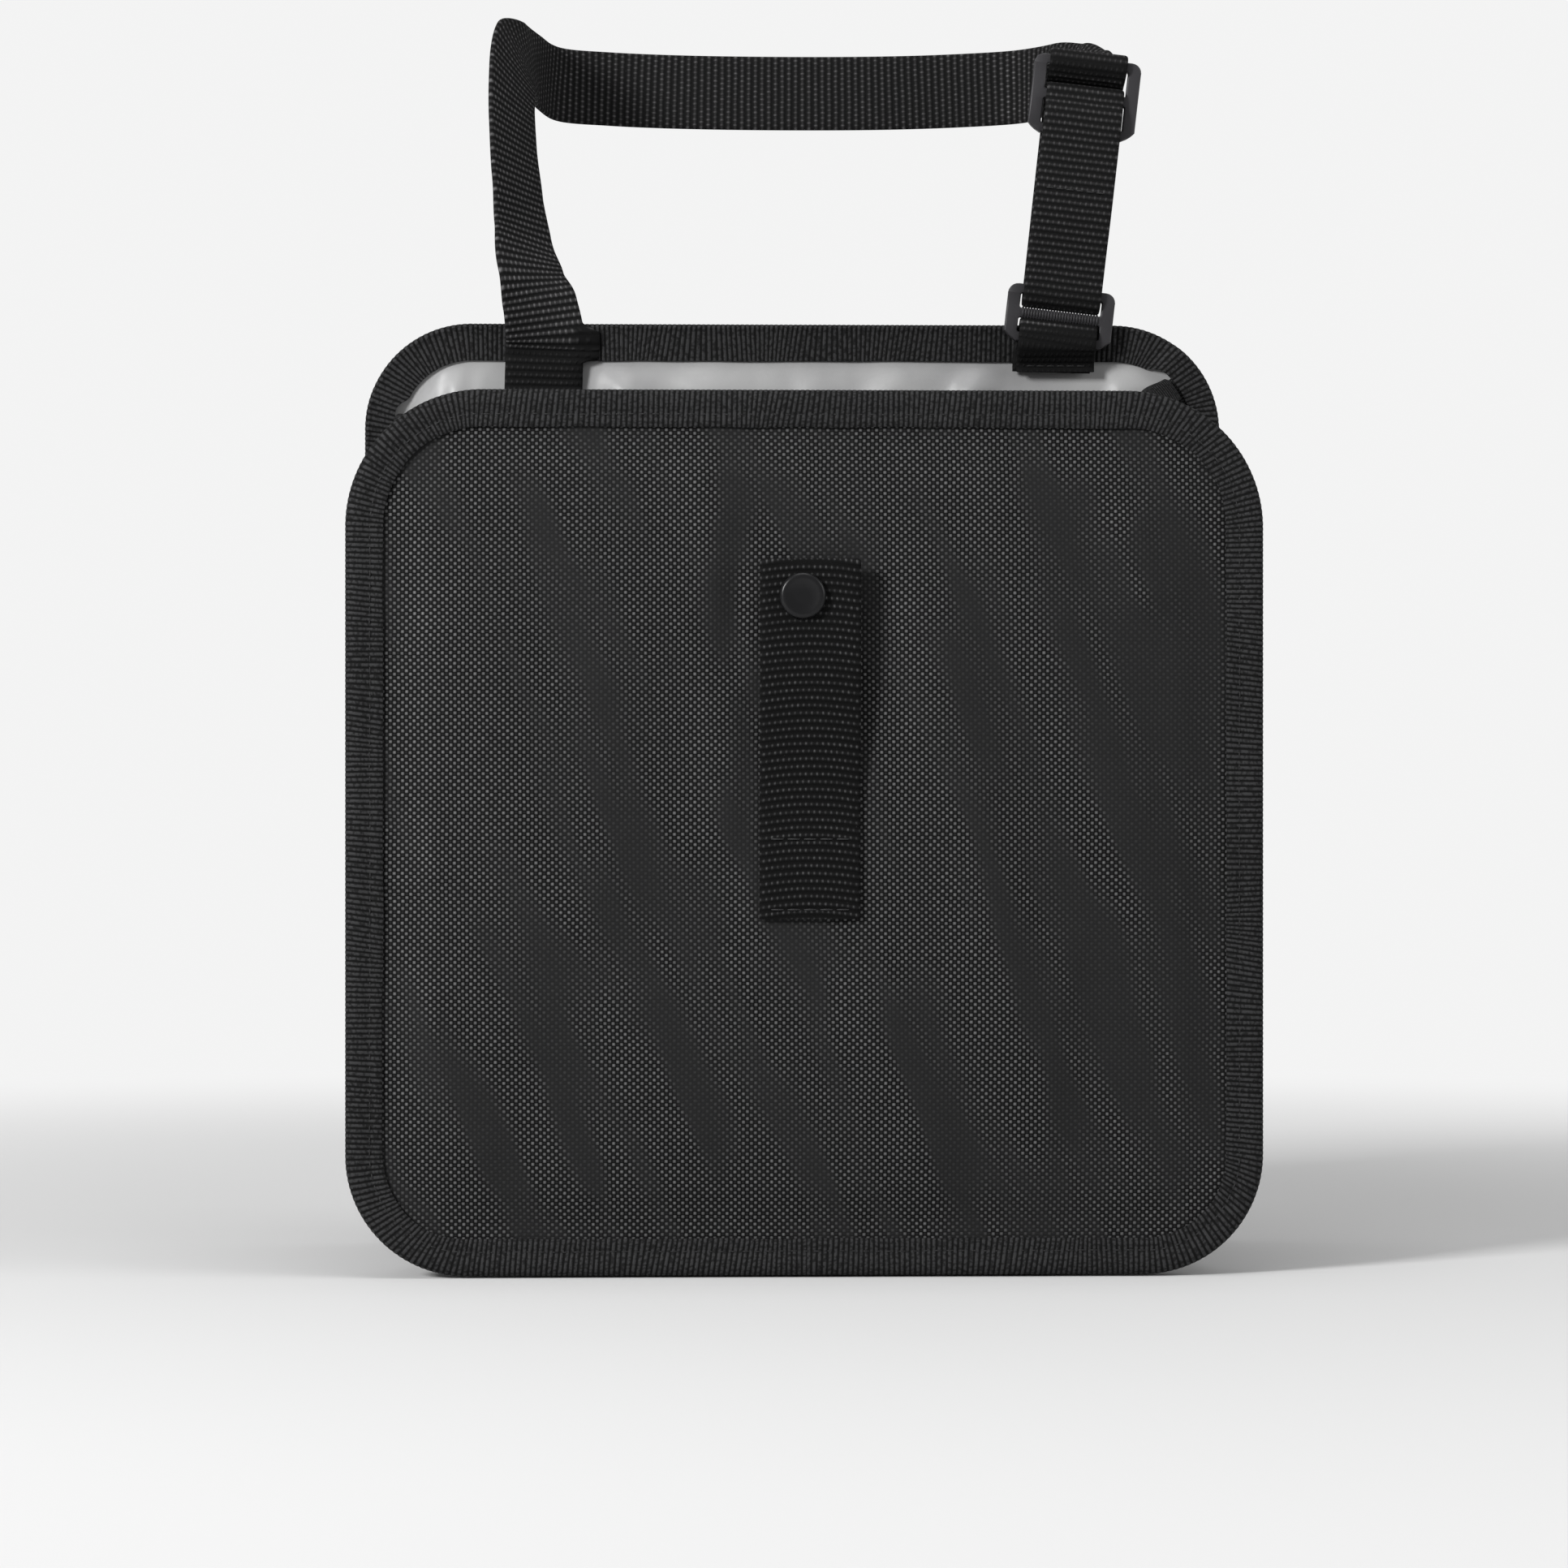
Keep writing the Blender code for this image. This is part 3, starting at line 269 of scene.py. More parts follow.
def new_group(name: str, inputs: Sequence[str], outputs: Sequence[str]) -> tuple[Tree, Graph, Node, Node]:
    """Start a node group that reads a vector and numbers and gives numbers.

    Args:
        name: The group's name.
        inputs: Names of its number inputs, after Vector.
        outputs: Names of its outputs.

    Returns:
        The tree, its graph, its input node and its output node.
    """
    tree = bpy.data.node_groups.new(name, "ShaderNodeTree")
    tree.interface.new_socket(name="Vector", in_out="INPUT", socket_type="NodeSocketVector")
    for labels, way in ((inputs, "INPUT"), (outputs, "OUTPUT")):
        for label in labels:
            tree.interface.new_socket(name=label, in_out=way, socket_type="NodeSocketFloat")
    graph = Graph(tree)
    return tree, graph, graph.add("NodeGroupInput"), graph.add("NodeGroupOutput")


def thread_lattice_group() -> Tree:
    """Build the weave shared by cloth and webbing: threads that cross over.

    Returns:
        A group that puts out the upper floats, the lower floats, the crest of
        each row, the middle of each column and a tone that changes from
        thread to thread.
    """
    tree, graph, start, end = new_group(
        "thread_lattice", ("Across", "Along", "Wander"), ("Upper", "Lower", "Crest", "Column", "Tone"),
    )
    place = start.outputs["Vector"]
    parts = graph.split(place)
    drift = graph.times(graph.math("SUBTRACT", graph.noise(place, 90.0, 1.0), 0.5), start.outputs["Wander"])
    u = graph.math("DIVIDE", graph.plus(parts["X"], drift), start.outputs["Across"])
    v = graph.math("DIVIDE", graph.plus(parts["Y"], drift), start.outputs["Along"])
    wave_u, wave_v = (graph.math("SINE", graph.times(count, math.pi)) for count in (u, v))
    wave = graph.times(wave_u, wave_v)
    cell = graph.value("ShaderNodeCombineXYZ", "Vector", {}, X=graph.math("FLOOR", u), Y=graph.math("FLOOR", v))
    tone = graph.value("ShaderNodeTexWhiteNoise", "Value", {"noise_dimensions": "3D"}, Vector=cell)
    graph.dress(
        end, Upper=graph.math("MAXIMUM", wave, 0.0), Lower=graph.math("MAXIMUM", graph.times(wave, -1.0), 0.0),
        Crest=graph.math("ABSOLUTE", wave_v), Column=graph.math("ABSOLUTE", wave_u), Tone=tone,
    )
    return tree


def handling_and_shade_group() -> Tree:
    """Build faint unevenness, soft patches and lint: the marks of handling, and painted shade on the lining.

    Returns:
        A group that puts out soft patches and sparse specks.
    """
    tree, graph, start, end = new_group("handling", (), ("Patches", "Lint"))
    broad = graph.noise(start.outputs["Vector"], 24.0, 3.0)
    fine = graph.noise(start.outputs["Vector"], 1400.0, 1.0)
    graph.dress(end, Patches=graph.ramp(broad, 0.32, 0.68), Lint=graph.ramp(fine, 0.74, 0.82))
    return tree


LATTICE = thread_lattice_group()
HANDLING_AND_SHADE = handling_and_shade_group()


# Finishes


def start_material(name: str, roughness: float, specular: float) -> tuple[Material, Graph, Node]:
    """Return a new material, its graph and its shader.

    Args:
        name: The material's name.
        roughness: The roughness where nothing else sets it.
        specular: The specular level, set on the shader itself.

    Returns:
        The material, the graph and the Principled node.
    """
    material = bpy.data.materials.new(name)
    material.use_nodes = True
    shader = material.node_tree.nodes["Principled BSDF"]
    shader.inputs["Roughness"].default_value = roughness
    shader.inputs["Specular IOR Level"].default_value = specular
    return material, Graph(material.node_tree), shader


@dataclass(frozen=True)
class WovenCloth:
    """Black coated plain weave with raised, slightly shiny thread floats."""

    name: str = "black_cloth"
    across: float = 0.00121
    along: float = 0.00106
    wander: float = 0.0006
    streak: Triple = (0.017, 0.090, 0.40)
    crisp: tuple[float, ...] = (0.35, 0.61, 0.12, 1.0)
    gap_colour: Triple = (0.0010, 0.0010, 0.0010)
    low_colour: Triple = (0.013, 0.013, 0.0133)
    float_colour: Triple = (0.122, 0.122, 0.123)
    flat_colour: Triple = (0.0160, 0.0160, 0.0163)
    specular: float = 0.05
    gloss: float = 0.45
    gloss_roughness: float = 0.36
    roughness: Pair = (0.74, 0.50)
    relief: float = 0.00016

    def material(self) -> Material:
        """Return the cloth, woven in the piece's own cut coordinates."""
        material, graph, shader = start_material(self.name, self.roughness[0], self.specular)
        shader.inputs["Coat Roughness"].default_value = self.gloss_roughness
        place = graph.cut()
        weave = graph.group(LATTICE, Vector=place, Across=self.across, Along=self.along, Wander=self.wander)
        wear_and_shade = graph.group(HANDLING_AND_SHADE, Vector=place)
        # Painted highlight: a per-point value on the mesh, worked out from how each spot of the front panel faces
        # the lamps, sets with random streak noise how crisp and bright the floats are painted and how much they
        # gloss.
        painted_sheen = graph.add("ShaderNodeAttribute", attribute_name="painted_sheen").outputs["Fac"]
        drag = graph.noise(graph.patches(place, *self.streak), 1.0, 2.0)
        crisp = graph.ramp(graph.plus(drag, painted_sheen), *self.crisp)
        column = graph.math("POWER", weave.outputs["Column"], 0.5)
        upper = graph.times(graph.math("POWER", weave.outputs["Upper"], 0.7), column)
        shown = graph.times(upper, graph.ramp(weave.outputs["Tone"], 0.0, 1.0, 0.75, 1.0))
        base = graph.blend(weave.outputs["Lower"], self.gap_colour, self.low_colour)
        woven = graph.blend(shown, base, self.float_colour)
        height = graph.plus(weave.outputs["Upper"], graph.times(weave.outputs["Lower"], 0.45))
        graph.dress(
            shader, Base_Color=graph.linted(wear_and_shade, graph.blend(crisp, self.flat_colour, woven)),
            Coat_Weight=graph.times(shown, crisp, self.gloss),
            Roughness=graph.ramp(shown, 0.0, 1.0, *self.roughness), Normal=graph.bump(height, self.relief, 0.8),
        )
        return material


@dataclass(frozen=True)
class CoatedLining:
    """Light grey coated lining with a satin face and fine crumples."""

    name: str = "grey_lining"
    colour: Triple = (0.355, 0.355, 0.355)
    # Darker grey of the random patches of painted shade.
    shade: Triple = (0.185, 0.185, 0.19)
    shade_share: float = 0.45
    thread: float = 0.00032
    wander: float = 0.0001
    specular: float = 0.35
    roughness: Pair = (0.34, 0.48)
    crumple: float = 0.0012
    grain: float = 0.00003

    def material(self) -> Material:
        """Return the lining."""
        material, graph, shader = start_material(self.name, self.roughness[0], self.specular)
        place = graph.cut()
        weave = graph.group(LATTICE, Vector=place, Across=self.thread, Along=self.thread, Wander=self.wander)
        wear_and_shade = graph.group(HANDLING_AND_SHADE, Vector=place)
        crumple = graph.noise(place, 70.0, 4.0)
        grain = graph.bump(weave.outputs["Upper"], self.grain, 0.5)
        # Painted shade: random soft patches darken the grey towards the shade colour, standing in for the uneven
        # shading of the crumpled lining.
        graph.dress(
            shader,
            Base_Color=graph.blend(graph.times(wear_and_shade.outputs["Patches"], self.shade_share), self.colour, self.shade),
            Roughness=graph.ramp(crumple, 0.3, 0.7, *self.roughness),
            Normal=graph.bump(crumple, self.crumple, 0.4, Normal=grain),
        )
        return material


@dataclass(frozen=True)
class RibbedTape:
    """Black ribbed binding tape: cords across it, bound by fine warp threads."""

    name: str = "black_tape"
    warp: float = 0.00034
    wander: float = 0.0001
    groove_colour: Triple = (0.0030, 0.0030, 0.0030)
    rib_colour: Triple = (0.029, 0.029, 0.030)
    specular: float = 0.12
    roughness: Pair = (0.82, 0.58)
    relief: float = 0.00014

    def material(self) -> Material:
        """Return the tape; its map runs across it and then along it."""
        material, graph, shader = start_material(self.name, self.roughness[0], self.specular)
        place = graph.cut()
        rib = graph.math("ABSOLUTE", graph.math("SINE", graph.times(graph.split(place)["Y"], math.pi / BAG.rib)))
        warp = graph.group(LATTICE, Vector=place, Across=self.warp, Along=BAG.rib, Wander=self.wander)
        wear_and_shade = graph.group(HANDLING_AND_SHADE, Vector=place)
        fleck = graph.noise(graph.patches(place, 0.0009, 0.0016), 1.0, 2.0)
        lit = graph.times(
            graph.ramp(rib, 0.36, 1.0), graph.ramp(fleck, 0.34, 0.68, 0.28, 1.75),
            graph.ramp(wear_and_shade.outputs["Patches"], 0.0, 1.0, 0.75, 1.0),
        )
        fine = graph.plus(warp.outputs["Upper"], warp.outputs["Lower"])
        graph.dress(
            shader, Base_Color=graph.linted(wear_and_shade, graph.blend(lit, self.groove_colour, self.rib_colour)),
            Roughness=graph.ramp(lit, 0.0, 1.0, *self.roughness),
            Normal=graph.bump(graph.plus(graph.times(fine, 0.25), rib), self.relief, 0.8),
        )
        return material


@dataclass(frozen=True)
class WovenWebbing:
    """Black webbing: rows of weft with small staggered warp floats."""

    name: str = "black_webbing"
    across: float = 0.00095
    wander: float = 0.0003
    crest: float = 3.0
    row_crest: float = 6.0
    gap_colour: Triple = (0.0042, 0.0042, 0.0043)
    row_colour: Triple = (0.026, 0.0255, 0.026)
    float_colour: Triple = (0.088, 0.086, 0.088)
    specular: float = 0.10
    gloss: float = 0.4
    gloss_roughness: float = 0.40
    roughness: Pair = (0.80, 0.52)
    relief: float = 0.00030

    def material(self) -> Material:
        """Return the webbing; its map runs across it and then along it."""
        material, graph, shader = start_material(self.name, self.roughness[0], self.specular)
        shader.inputs["Coat Roughness"].default_value = self.gloss_roughness
        place = graph.cut()
        weave = graph.group(LATTICE, Vector=place, Across=self.across, Along=BAG.web_row, Wander=self.wander)
        wear_and_shade = graph.group(HANDLING_AND_SHADE, Vector=place)
        strands = graph.noise(graph.patches(place, 0.0002, 0.0011), 1.0, 1.0)
        crest = weave.outputs["Crest"]
        upper = graph.times(weave.outputs["Upper"], graph.math("POWER", crest, self.crest))
        shown = graph.times(upper, graph.ramp(weave.outputs["Tone"], 0.0, 1.0, 0.45, 1.0))
        shown = graph.math("MULTIPLY", shown, graph.ramp(strands, 0.3, 0.7, 0.65, 1.1), clamp=True)
        # Painted light and shade: a per-point value on the mesh scales how bright the floats and row lines are
        # painted. The loop sets it to paint light and shade on the strap and tab; the snap strap sets one even
        # tone.
        tone_and_painted_light = graph.add("ShaderNodeAttribute", attribute_name="tone_and_painted_light").outputs["Fac"]
        shown = graph.times(shown, tone_and_painted_light)
        line = graph.times(graph.math("POWER", crest, self.row_crest), tone_and_painted_light)
        base = graph.blend(line, self.gap_colour, self.row_colour)
        height = graph.plus(graph.plus(upper, graph.times(crest, 0.5)), graph.times(strands, 0.12))
        graph.dress(
            shader, Base_Color=graph.linted(wear_and_shade, graph.blend(shown, base, self.float_colour)),
            Coat_Weight=graph.times(shown, self.gloss),
            Roughness=graph.ramp(shown, 0.0, 1.0, *self.roughness), Normal=graph.bump(height, self.relief, 0.8),
        )
        return material


@dataclass(frozen=True)
class MouldedPlastic:
    """Moulded plastic with a fine grain and slightly paler worn places."""

    name: str
    colour: Triple
    roughness: float
    specular: float
    grain: float = 0.00003
    worn: float = 1.35

    def material(self) -> Material:
        """Return the plastic."""
        material, graph, shader = start_material(self.name, self.roughness, self.specular)
        place = graph.object_place()
        patches = graph.group(HANDLING_AND_SHADE, Vector=place).outputs["Patches"]
        paler = tuple(min(part * self.worn, 1.0) for part in self.colour)
        graph.dress(
            shader, Base_Color=graph.blend(graph.times(patches, 0.5), self.colour, paler),
            Roughness=graph.ramp(patches, 0.0, 1.0, self.roughness - 0.05, self.roughness + 0.07),
            Normal=graph.bump(graph.noise(place, 2600.0, 2.0), self.grain, 0.6),
        )
        return material


@dataclass(frozen=True)
class PlatedMetal:
    """Plated snap metal with turning marks."""

    name: str = "snap_metal"
    colour: Triple = (0.52, 0.52, 0.53)
    dulled: float = 0.7
    roughness: Pair = (0.2, 0.38)

    def material(self) -> Material:
        """Return the metal."""
        material, graph, shader = start_material(self.name, self.roughness[0], 0.5)
        shader.inputs["Metallic"].default_value = 1.0
        place = graph.object_place()
        wear_and_shade = graph.group(HANDLING_AND_SHADE, Vector=place)
        dull = tuple(part * self.dulled for part in self.colour)
        marks = graph.noise(graph.patches(place, 0.00025, 0.0025), 1.0, 1.0)
        graph.dress(
            shader, Base_Color=graph.blend(wear_and_shade.outputs["Patches"], self.colour, dull),
            Roughness=graph.ramp(marks, 0.3, 0.7, *self.roughness),
        )
        return material


@dataclass(frozen=True)
class SewingThread:
    """Black twisted polyester thread."""

    name: str = "black_thread"
    colour: Triple = (0.006, 0.006, 0.0062)
    light: Triple = (0.020, 0.020, 0.0205)
    twist_round: float = 2600.0
    twist_along: float = 5200.0

    def material(self) -> Material:
        """Return the thread; its map runs round it and then along it."""
        material, graph, shader = start_material(self.name, 0.5, 0.25)
        parts = graph.split(graph.cut())
        slant = graph.plus(graph.times(parts["X"], self.twist_round), graph.times(parts["Y"], self.twist_along))
        twist = graph.math("ABSOLUTE", graph.math("SINE", slant))
        graph.dress(
            shader, Base_Color=graph.blend(twist, self.colour, self.light), Normal=graph.bump(twist, 0.00006, 0.7),
        )
        return material


@dataclass(frozen=True)
class PaleFloor:
    """Plain pale studio floor that fades into an even backdrop."""

    name: str = "pale_floor"
    colour: Triple = (0.68, 0.68, 0.68)
    backdrop: Triple = (0.90, 0.90, 0.90)
    uneven: float = 0.97
    fade: Pair = (0.28, 0.95)

    def material(self) -> Material:
        """Return the floor's material."""
        material, graph, shader = start_material(self.name, 0.9, 0.1)
        place = graph.object_place()
        darker = tuple(part * self.uneven for part in self.colour)
        graph.dress(shader, Base_Color=graph.blend(graph.noise(place, 3.0, 2.0), self.colour, darker))
        reach = graph.add("ShaderNodeVectorMath", operation="LENGTH")
        graph.feed(reach.inputs[0], place)
        far = graph.ramp(reach.outputs["Value"], *self.fade)
        even = graph.add("ShaderNodeEmission")
        even.inputs["Color"].default_value = opaque(self.backdrop)
        mixer = graph.add("ShaderNodeMixShader")
        seen = graph.times(far, graph.add("ShaderNodeLightPath").outputs["Is Camera Ray"])
        for socket, value in zip(mixer.inputs, (seen, shader.outputs[0], even.outputs[0])):
            graph.feed(socket, value)
        graph.feed(graph.tree.nodes["Material Output"].inputs["Surface"], mixer.outputs[0])
        return material


class Finish(Enum):
    """The finishes of the bag, each made once."""

    CLOTH = WovenCloth()
    LINING = CoatedLining()
    TAPE = RibbedTape()
    WEBBING = WovenWebbing()
    SNAP_WEBBING = WovenWebbing(
        "snap_webbing", across=0.00089, crest=6.0, gap_colour=(0.0015, 0.0015, 0.0015),
        row_colour=(0.0085, 0.0085, 0.0087), float_colour=(0.088, 0.088, 0.089),
    )
    BUCKLE = MouldedPlastic("grey_moulding", (0.026, 0.0252, 0.0274), 0.40, 0.28)
    CAP = MouldedPlastic("black_cap", (0.0065, 0.0065, 0.0070), 0.32, 0.22, 0.00001)
    METAL = PlatedMetal()
    THREAD = SewingThread()

    @property
    def slot(self) -> str:
        """Name of the record's material slot."""
        named = {"SNAP_WEBBING": "webbing", "CAP": "snap_black", "METAL": "snap_metal"}
        return named.get(self.name, self.name.lower())

    def material(self) -> Material:
        """Return the finish's material, made on first use."""
        return bpy.data.materials.get(self.value.name) or self.value.material()


# Meshes


def loft(name: str, rings: Sequence[Ring], uv: UvRule, closed: bool = False) -> Piece:
    """Skin a closed body over equal rings and map it.

    Args:
        name: Name of the new object.
        rings: Cross-sections with an even, equal number of points.
        uv: Rule that gives the map's place of ring i and point k.
        closed: Whether the last ring joins the first.

    Returns:
        The new object, with its faces pointing out.
    """
    size = len(rings[0])
    count = len(rings)
    points = [point for ring in rings for point in ring]
    faces: list[tuple[int, int, int, int]] = []
    places: list[float] = []
    for i in range(count if closed else count - 1):
        low = i * size
        high = ((i + 1) % count) * size
        for k in range(size):
            n = (k + 1) % size
            faces.append((low + k, low + n, high + n, high + k))
            for place in (uv(i, k), uv(i, k + 1), uv(i + 1, k + 1), uv(i + 1, k)):
                places += place
    if not closed:
        for i in (0, count - 1):
            base = i * size
            for k in range(size // 2 - 1):
                m = size - 1 - k
                faces.append((base + k, base + k + 1, base + m - 1, base + m))
                for place in (uv(i, k), uv(i, k + 1), uv(i, m - 1), uv(i, m)):
                    places += place
    return mesh_object(name, points, faces, places)


def mesh_object(name: str, points: Sequence[Vector], faces: Sequence[tuple], places: Sequence[float]) -> Piece:
    """Turn points and faces into a smooth object with outward faces.

    Args:
        name: Name of the new object.
        points: Vertices in the row frame.
        faces: Vertex numbers of each face.
        places: Map coordinates of each face's corners, one after another.

    Returns:
        The new object.
    """
    mesh = bpy.data.meshes.new(name)
    mesh.from_pydata(points, [], faces)
    layer = mesh.uv_layers.new(name="cut")
    layer.data.foreach_set("uv", places)
    work = bmesh.new()
    work.from_mesh(mesh)
    bmesh.ops.recalc_face_normals(work, faces=work.faces)
    work.to_mesh(mesh)
    work.free()
    mesh.shade_smooth()
    mesh.set_sharp_from_angle(angle=math.radians(60))
    item = bpy.data.objects.new(name, mesh)
    bpy.context.scene.collection.objects.link(item)
    return item


def walked_along(points: Sequence[Vector]) -> list[float]:
    """Return the distance walked to each point of a line."""
    walked = [0.0]
    for a, b in zip(points, points[1:]):
        walked.append(walked[-1] + (b - a).length)
    return walked


def mark(item: Piece, name: str, values: Sequence[float]) -> None:
    """Give each point of a mesh a value that its finish can read, in the mesh's own order."""
    item.data.attributes.new(name, "FLOAT", "POINT").data.foreach_set("value", values)


def install(item: Piece, finish: Finish, nodes: Iterable[str]) -> Piece:
    """Dress a finished piece and put it in place of its CAD nodes.

    Args:
        item: The piece.
        finish: Its finish.
        nodes: The CAD nodes that it stands for.

    Returns:
        The same piece.
    """
    item.data.materials.clear()
    item.data.materials.append(finish.material())
    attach(item, "root")
    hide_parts(*nodes)
    finish.slot
    LOG.info("%s: %d faces, for %s", item.name, len(item.data.polygons), ", ".join(nodes))
    return item


# Outline of a panel and folds in it


@dataclass(frozen=True)
class Outline:
    """Rounded rectangle in the XZ plane with its own top and bottom radius."""

    height: float
    top_radius: float
    bottom_radius: float
    foot_steps: int = 22
    corner_steps: int = 14
    side_steps: int = 40

    @property
    def top(self) -> float:
        """Height of the top edge."""
        return BAG.bottom + self.height

    @property
    def middle(self) -> float:
        """Height halfway up."""
        return (self.top + BAG.bottom) / 2

    def at(self, side: int, angle: float, inset: float) -> Stop:
        """Return the point and normal of a corner.

        Args:
            side: -1 for left, 1 for right.
            angle: Angle from the side, above it if positive.
            inset: Distance inside the outline.

        Returns:
            The point and the outward normal.
        """
        radius = self.top_radius if angle > 0 else self.bottom_radius
        level = self.top - radius if angle > 0 else BAG.bottom + radius
        normal = Vector((side * math.cos(angle), 0, math.sin(angle)))
        centre = Vector((side * (BAG.half_width - radius), 0, level))
        return centre + normal * (radius - inset), normal

    def near_end(self, side: int, angle: float, inset: float) -> Stop:
        """Return a station of the upper corner or, below angle 0, of the side straight below it."""
        point, normal = self.at(side, max(angle, HAIR), inset)
        return point + Vector((0, 0, min(angle, 0.0) * (self.top_radius - inset))), normal

    def side_run(self, side: int, end_angle: float, inset: float) -> list[Stop]:
        """Return stations from the bottom's middle round one side to an end.

        Args:
            side: -1 for left, 1 for right.
            end_angle: Angle round the upper corner at which the run ends.
            inset: Distance inside the outline.

        Returns:
            The stations.
        """
        foot, foot_normal = self.at(side, -QUARTER, inset)
        stops: list[Stop] = []
        for k in range(self.foot_steps):
            share = (k + 0.5) / self.foot_steps
            stops.append((Vector((foot.x * share, 0, foot.z)), foot_normal))
        for k in range(self.corner_steps + 1):
            stops.append(self.at(side, -QUARTER * (1 - k / self.corner_steps) - HAIR, inset))
        low = stops[-1][0]
        high, normal = self.at(side, HAIR, inset)
        for k in range(1, self.side_steps + 1):
            stops.append((low.lerp(high, k / (self.side_steps + 1)), normal))
        for k in range(self.corner_steps + 1):
            stops.append(self.at(side, end_angle * k / self.corner_steps + HAIR, inset))
        return stops

    def open_run(self, left_end: float, right_end: float, inset: float) -> list[Stop]:
        """Return the gusset's run, from its left end down and up to its right end."""
        left = self.side_run(-1, left_end, inset)
        return left[::-1] + self.side_run(1, right_end, inset)

    def walk(self, pitch: float, inset: float = 0.0) -> tuple[list[tuple[Vector, Vector, float]], float]:
        """Walk all round the outline in even steps.

        Args:
            pitch: Wanted length of a step, fitted to a whole number of them.
            inset: Distance inside the outline at which the steps are even.

        Returns:
            Points on the outline with their normals and distances walked, and
            the whole length.
        """
        half = BAG.half_width
        low, high = BAG.bottom + self.bottom_radius, self.top - self.top_radius
        legs = [
            half - self.bottom_radius, (self.bottom_radius - inset) * QUARTER, high - low,
            (self.top_radius - inset) * QUARTER, half - self.top_radius,
        ]
        total = sum([*legs[:4], 2 * legs[4], *legs[3::-1]])
        count = round(total / pitch)
        stops = []
        for k in range(count):
            walked = total * k / count
            side = 1 if walked <= total / 2 else -1
            rest = walked if side > 0 else total - walked
            leg = 0
            while leg < len(legs) - 1 and rest > legs[leg]:
                rest -= legs[leg]
                leg += 1
            share = rest / legs[leg]
            if leg == 0:
                stop = Vector((side * rest, 0, BAG.bottom)), Vector((0, 0, -1))
            elif leg == 1:
                stop = self.at(side, -QUARTER * (1 - share) - HAIR, 0.0)
            elif leg == 2:
                stop = Vector((side * half, 0, mix(low, high, share))), Vector((side, 0, 0))
            elif leg == 3:
                stop = self.at(side, QUARTER * share + HAIR, 0.0)
            else:
                stop = Vector((side * (legs[4] - rest), 0, self.top)), Vector((0, 0, 1))
            stops.append((*stop, walked))
        return stops, total


FRONT = Outline(BAG.front_height, 0.041, 0.036)
BACK = Outline(BAG.back_height, 0.034, 0.036)


@dataclass(frozen=True)
class Fold:
    """Long soft fold in the XZ plane, from one end to the other; below 0 it is a dent."""

    x0: float
    z0: float
    x1: float
    z1: float
    width: float
    rise: float

    def height(self, x: float, z: float) -> float:
        """Return how far the fold lifts the cloth.

        Args:
            x: Place across.
            z: Place up.

        Returns:
            The height, which fades out beside the fold and at its ends.
        """
        run_x, run_z = self.x1 - self.x0, self.z1 - self.z0
        length = math.hypot(run_x, run_z)
        off_x, off_z = x - self.x0, z - self.z0
        share = (off_x * run_x + off_z * run_z) / length ** 2
        away = abs(off_x * run_z - off_z * run_x) / length
        if away > self.width * 3:
            return 0.0
        ends = math.exp(-(max(abs(share - 0.5) - 0.3, 0.0) / 0.25) ** 2)
        return self.rise * math.exp(-(away / self.width) ** 2) * ends


def square_to_panel(u: float, v: float, outline: Outline, inset: float) -> Pair:
    """Map a square of side two onto a panel's rounded outline.

    Args:
        u: Place across, from -1 to 1.
        v: Place up, from -1 to 1.
        outline: The panel's outline.
        inset: Distance of the cut edge inside the outline.

    Returns:
        X and Z of the place.
    """
    reach = max(abs(u), abs(v))
    if reach < HAIR:
        return 0.0, outline.middle
    low, high = BAG.bottom + inset, outline.top - inset
    half = BAG.half_width - inset
    x = u / reach * half
    z = mix(low, high, (v / reach + 1) / 2)
    radius = (outline.top_radius if v > 0 else outline.bottom_radius) - inset
    corner_x = half - radius
    corner_z = high - radius if v > 0 else low + radius
    inside = z - corner_z if v > 0 else corner_z - z
    if abs(x) > corner_x and inside > 0:
        share = inside / radius / 2 if inside < radius - HAIR else 0.5 + (half - abs(x)) / radius / 2
        x = math.copysign(corner_x + radius * math.cos(share * QUARTER), x)
        z = corner_z + math.copysign(radius * math.sin(share * QUARTER), v)
    return x * reach, outline.middle + (z - outline.middle) * reach


def edge_distance(x: float, z: float, outline: Outline) -> float:
    """Return how far a point lies inside the inner edge of the tape.

    Args:
        x: Place across.
        z: Place up.
        outline: The panel's outline.

    Returns:
        The distance, below 0 under the tape.
    """
    edge_x = BAG.half_width - BAG.outer_leg - abs(x)
    edge_z = (outline.top - BAG.bottom) / 2 - BAG.outer_leg - abs(z - outline.middle)
    corner = outline.top_radius - BAG.outer_leg
    if edge_x < corner and edge_z < corner:
        return corner - math.hypot(corner - edge_x, corner - edge_z)
    return min(edge_x, edge_z)


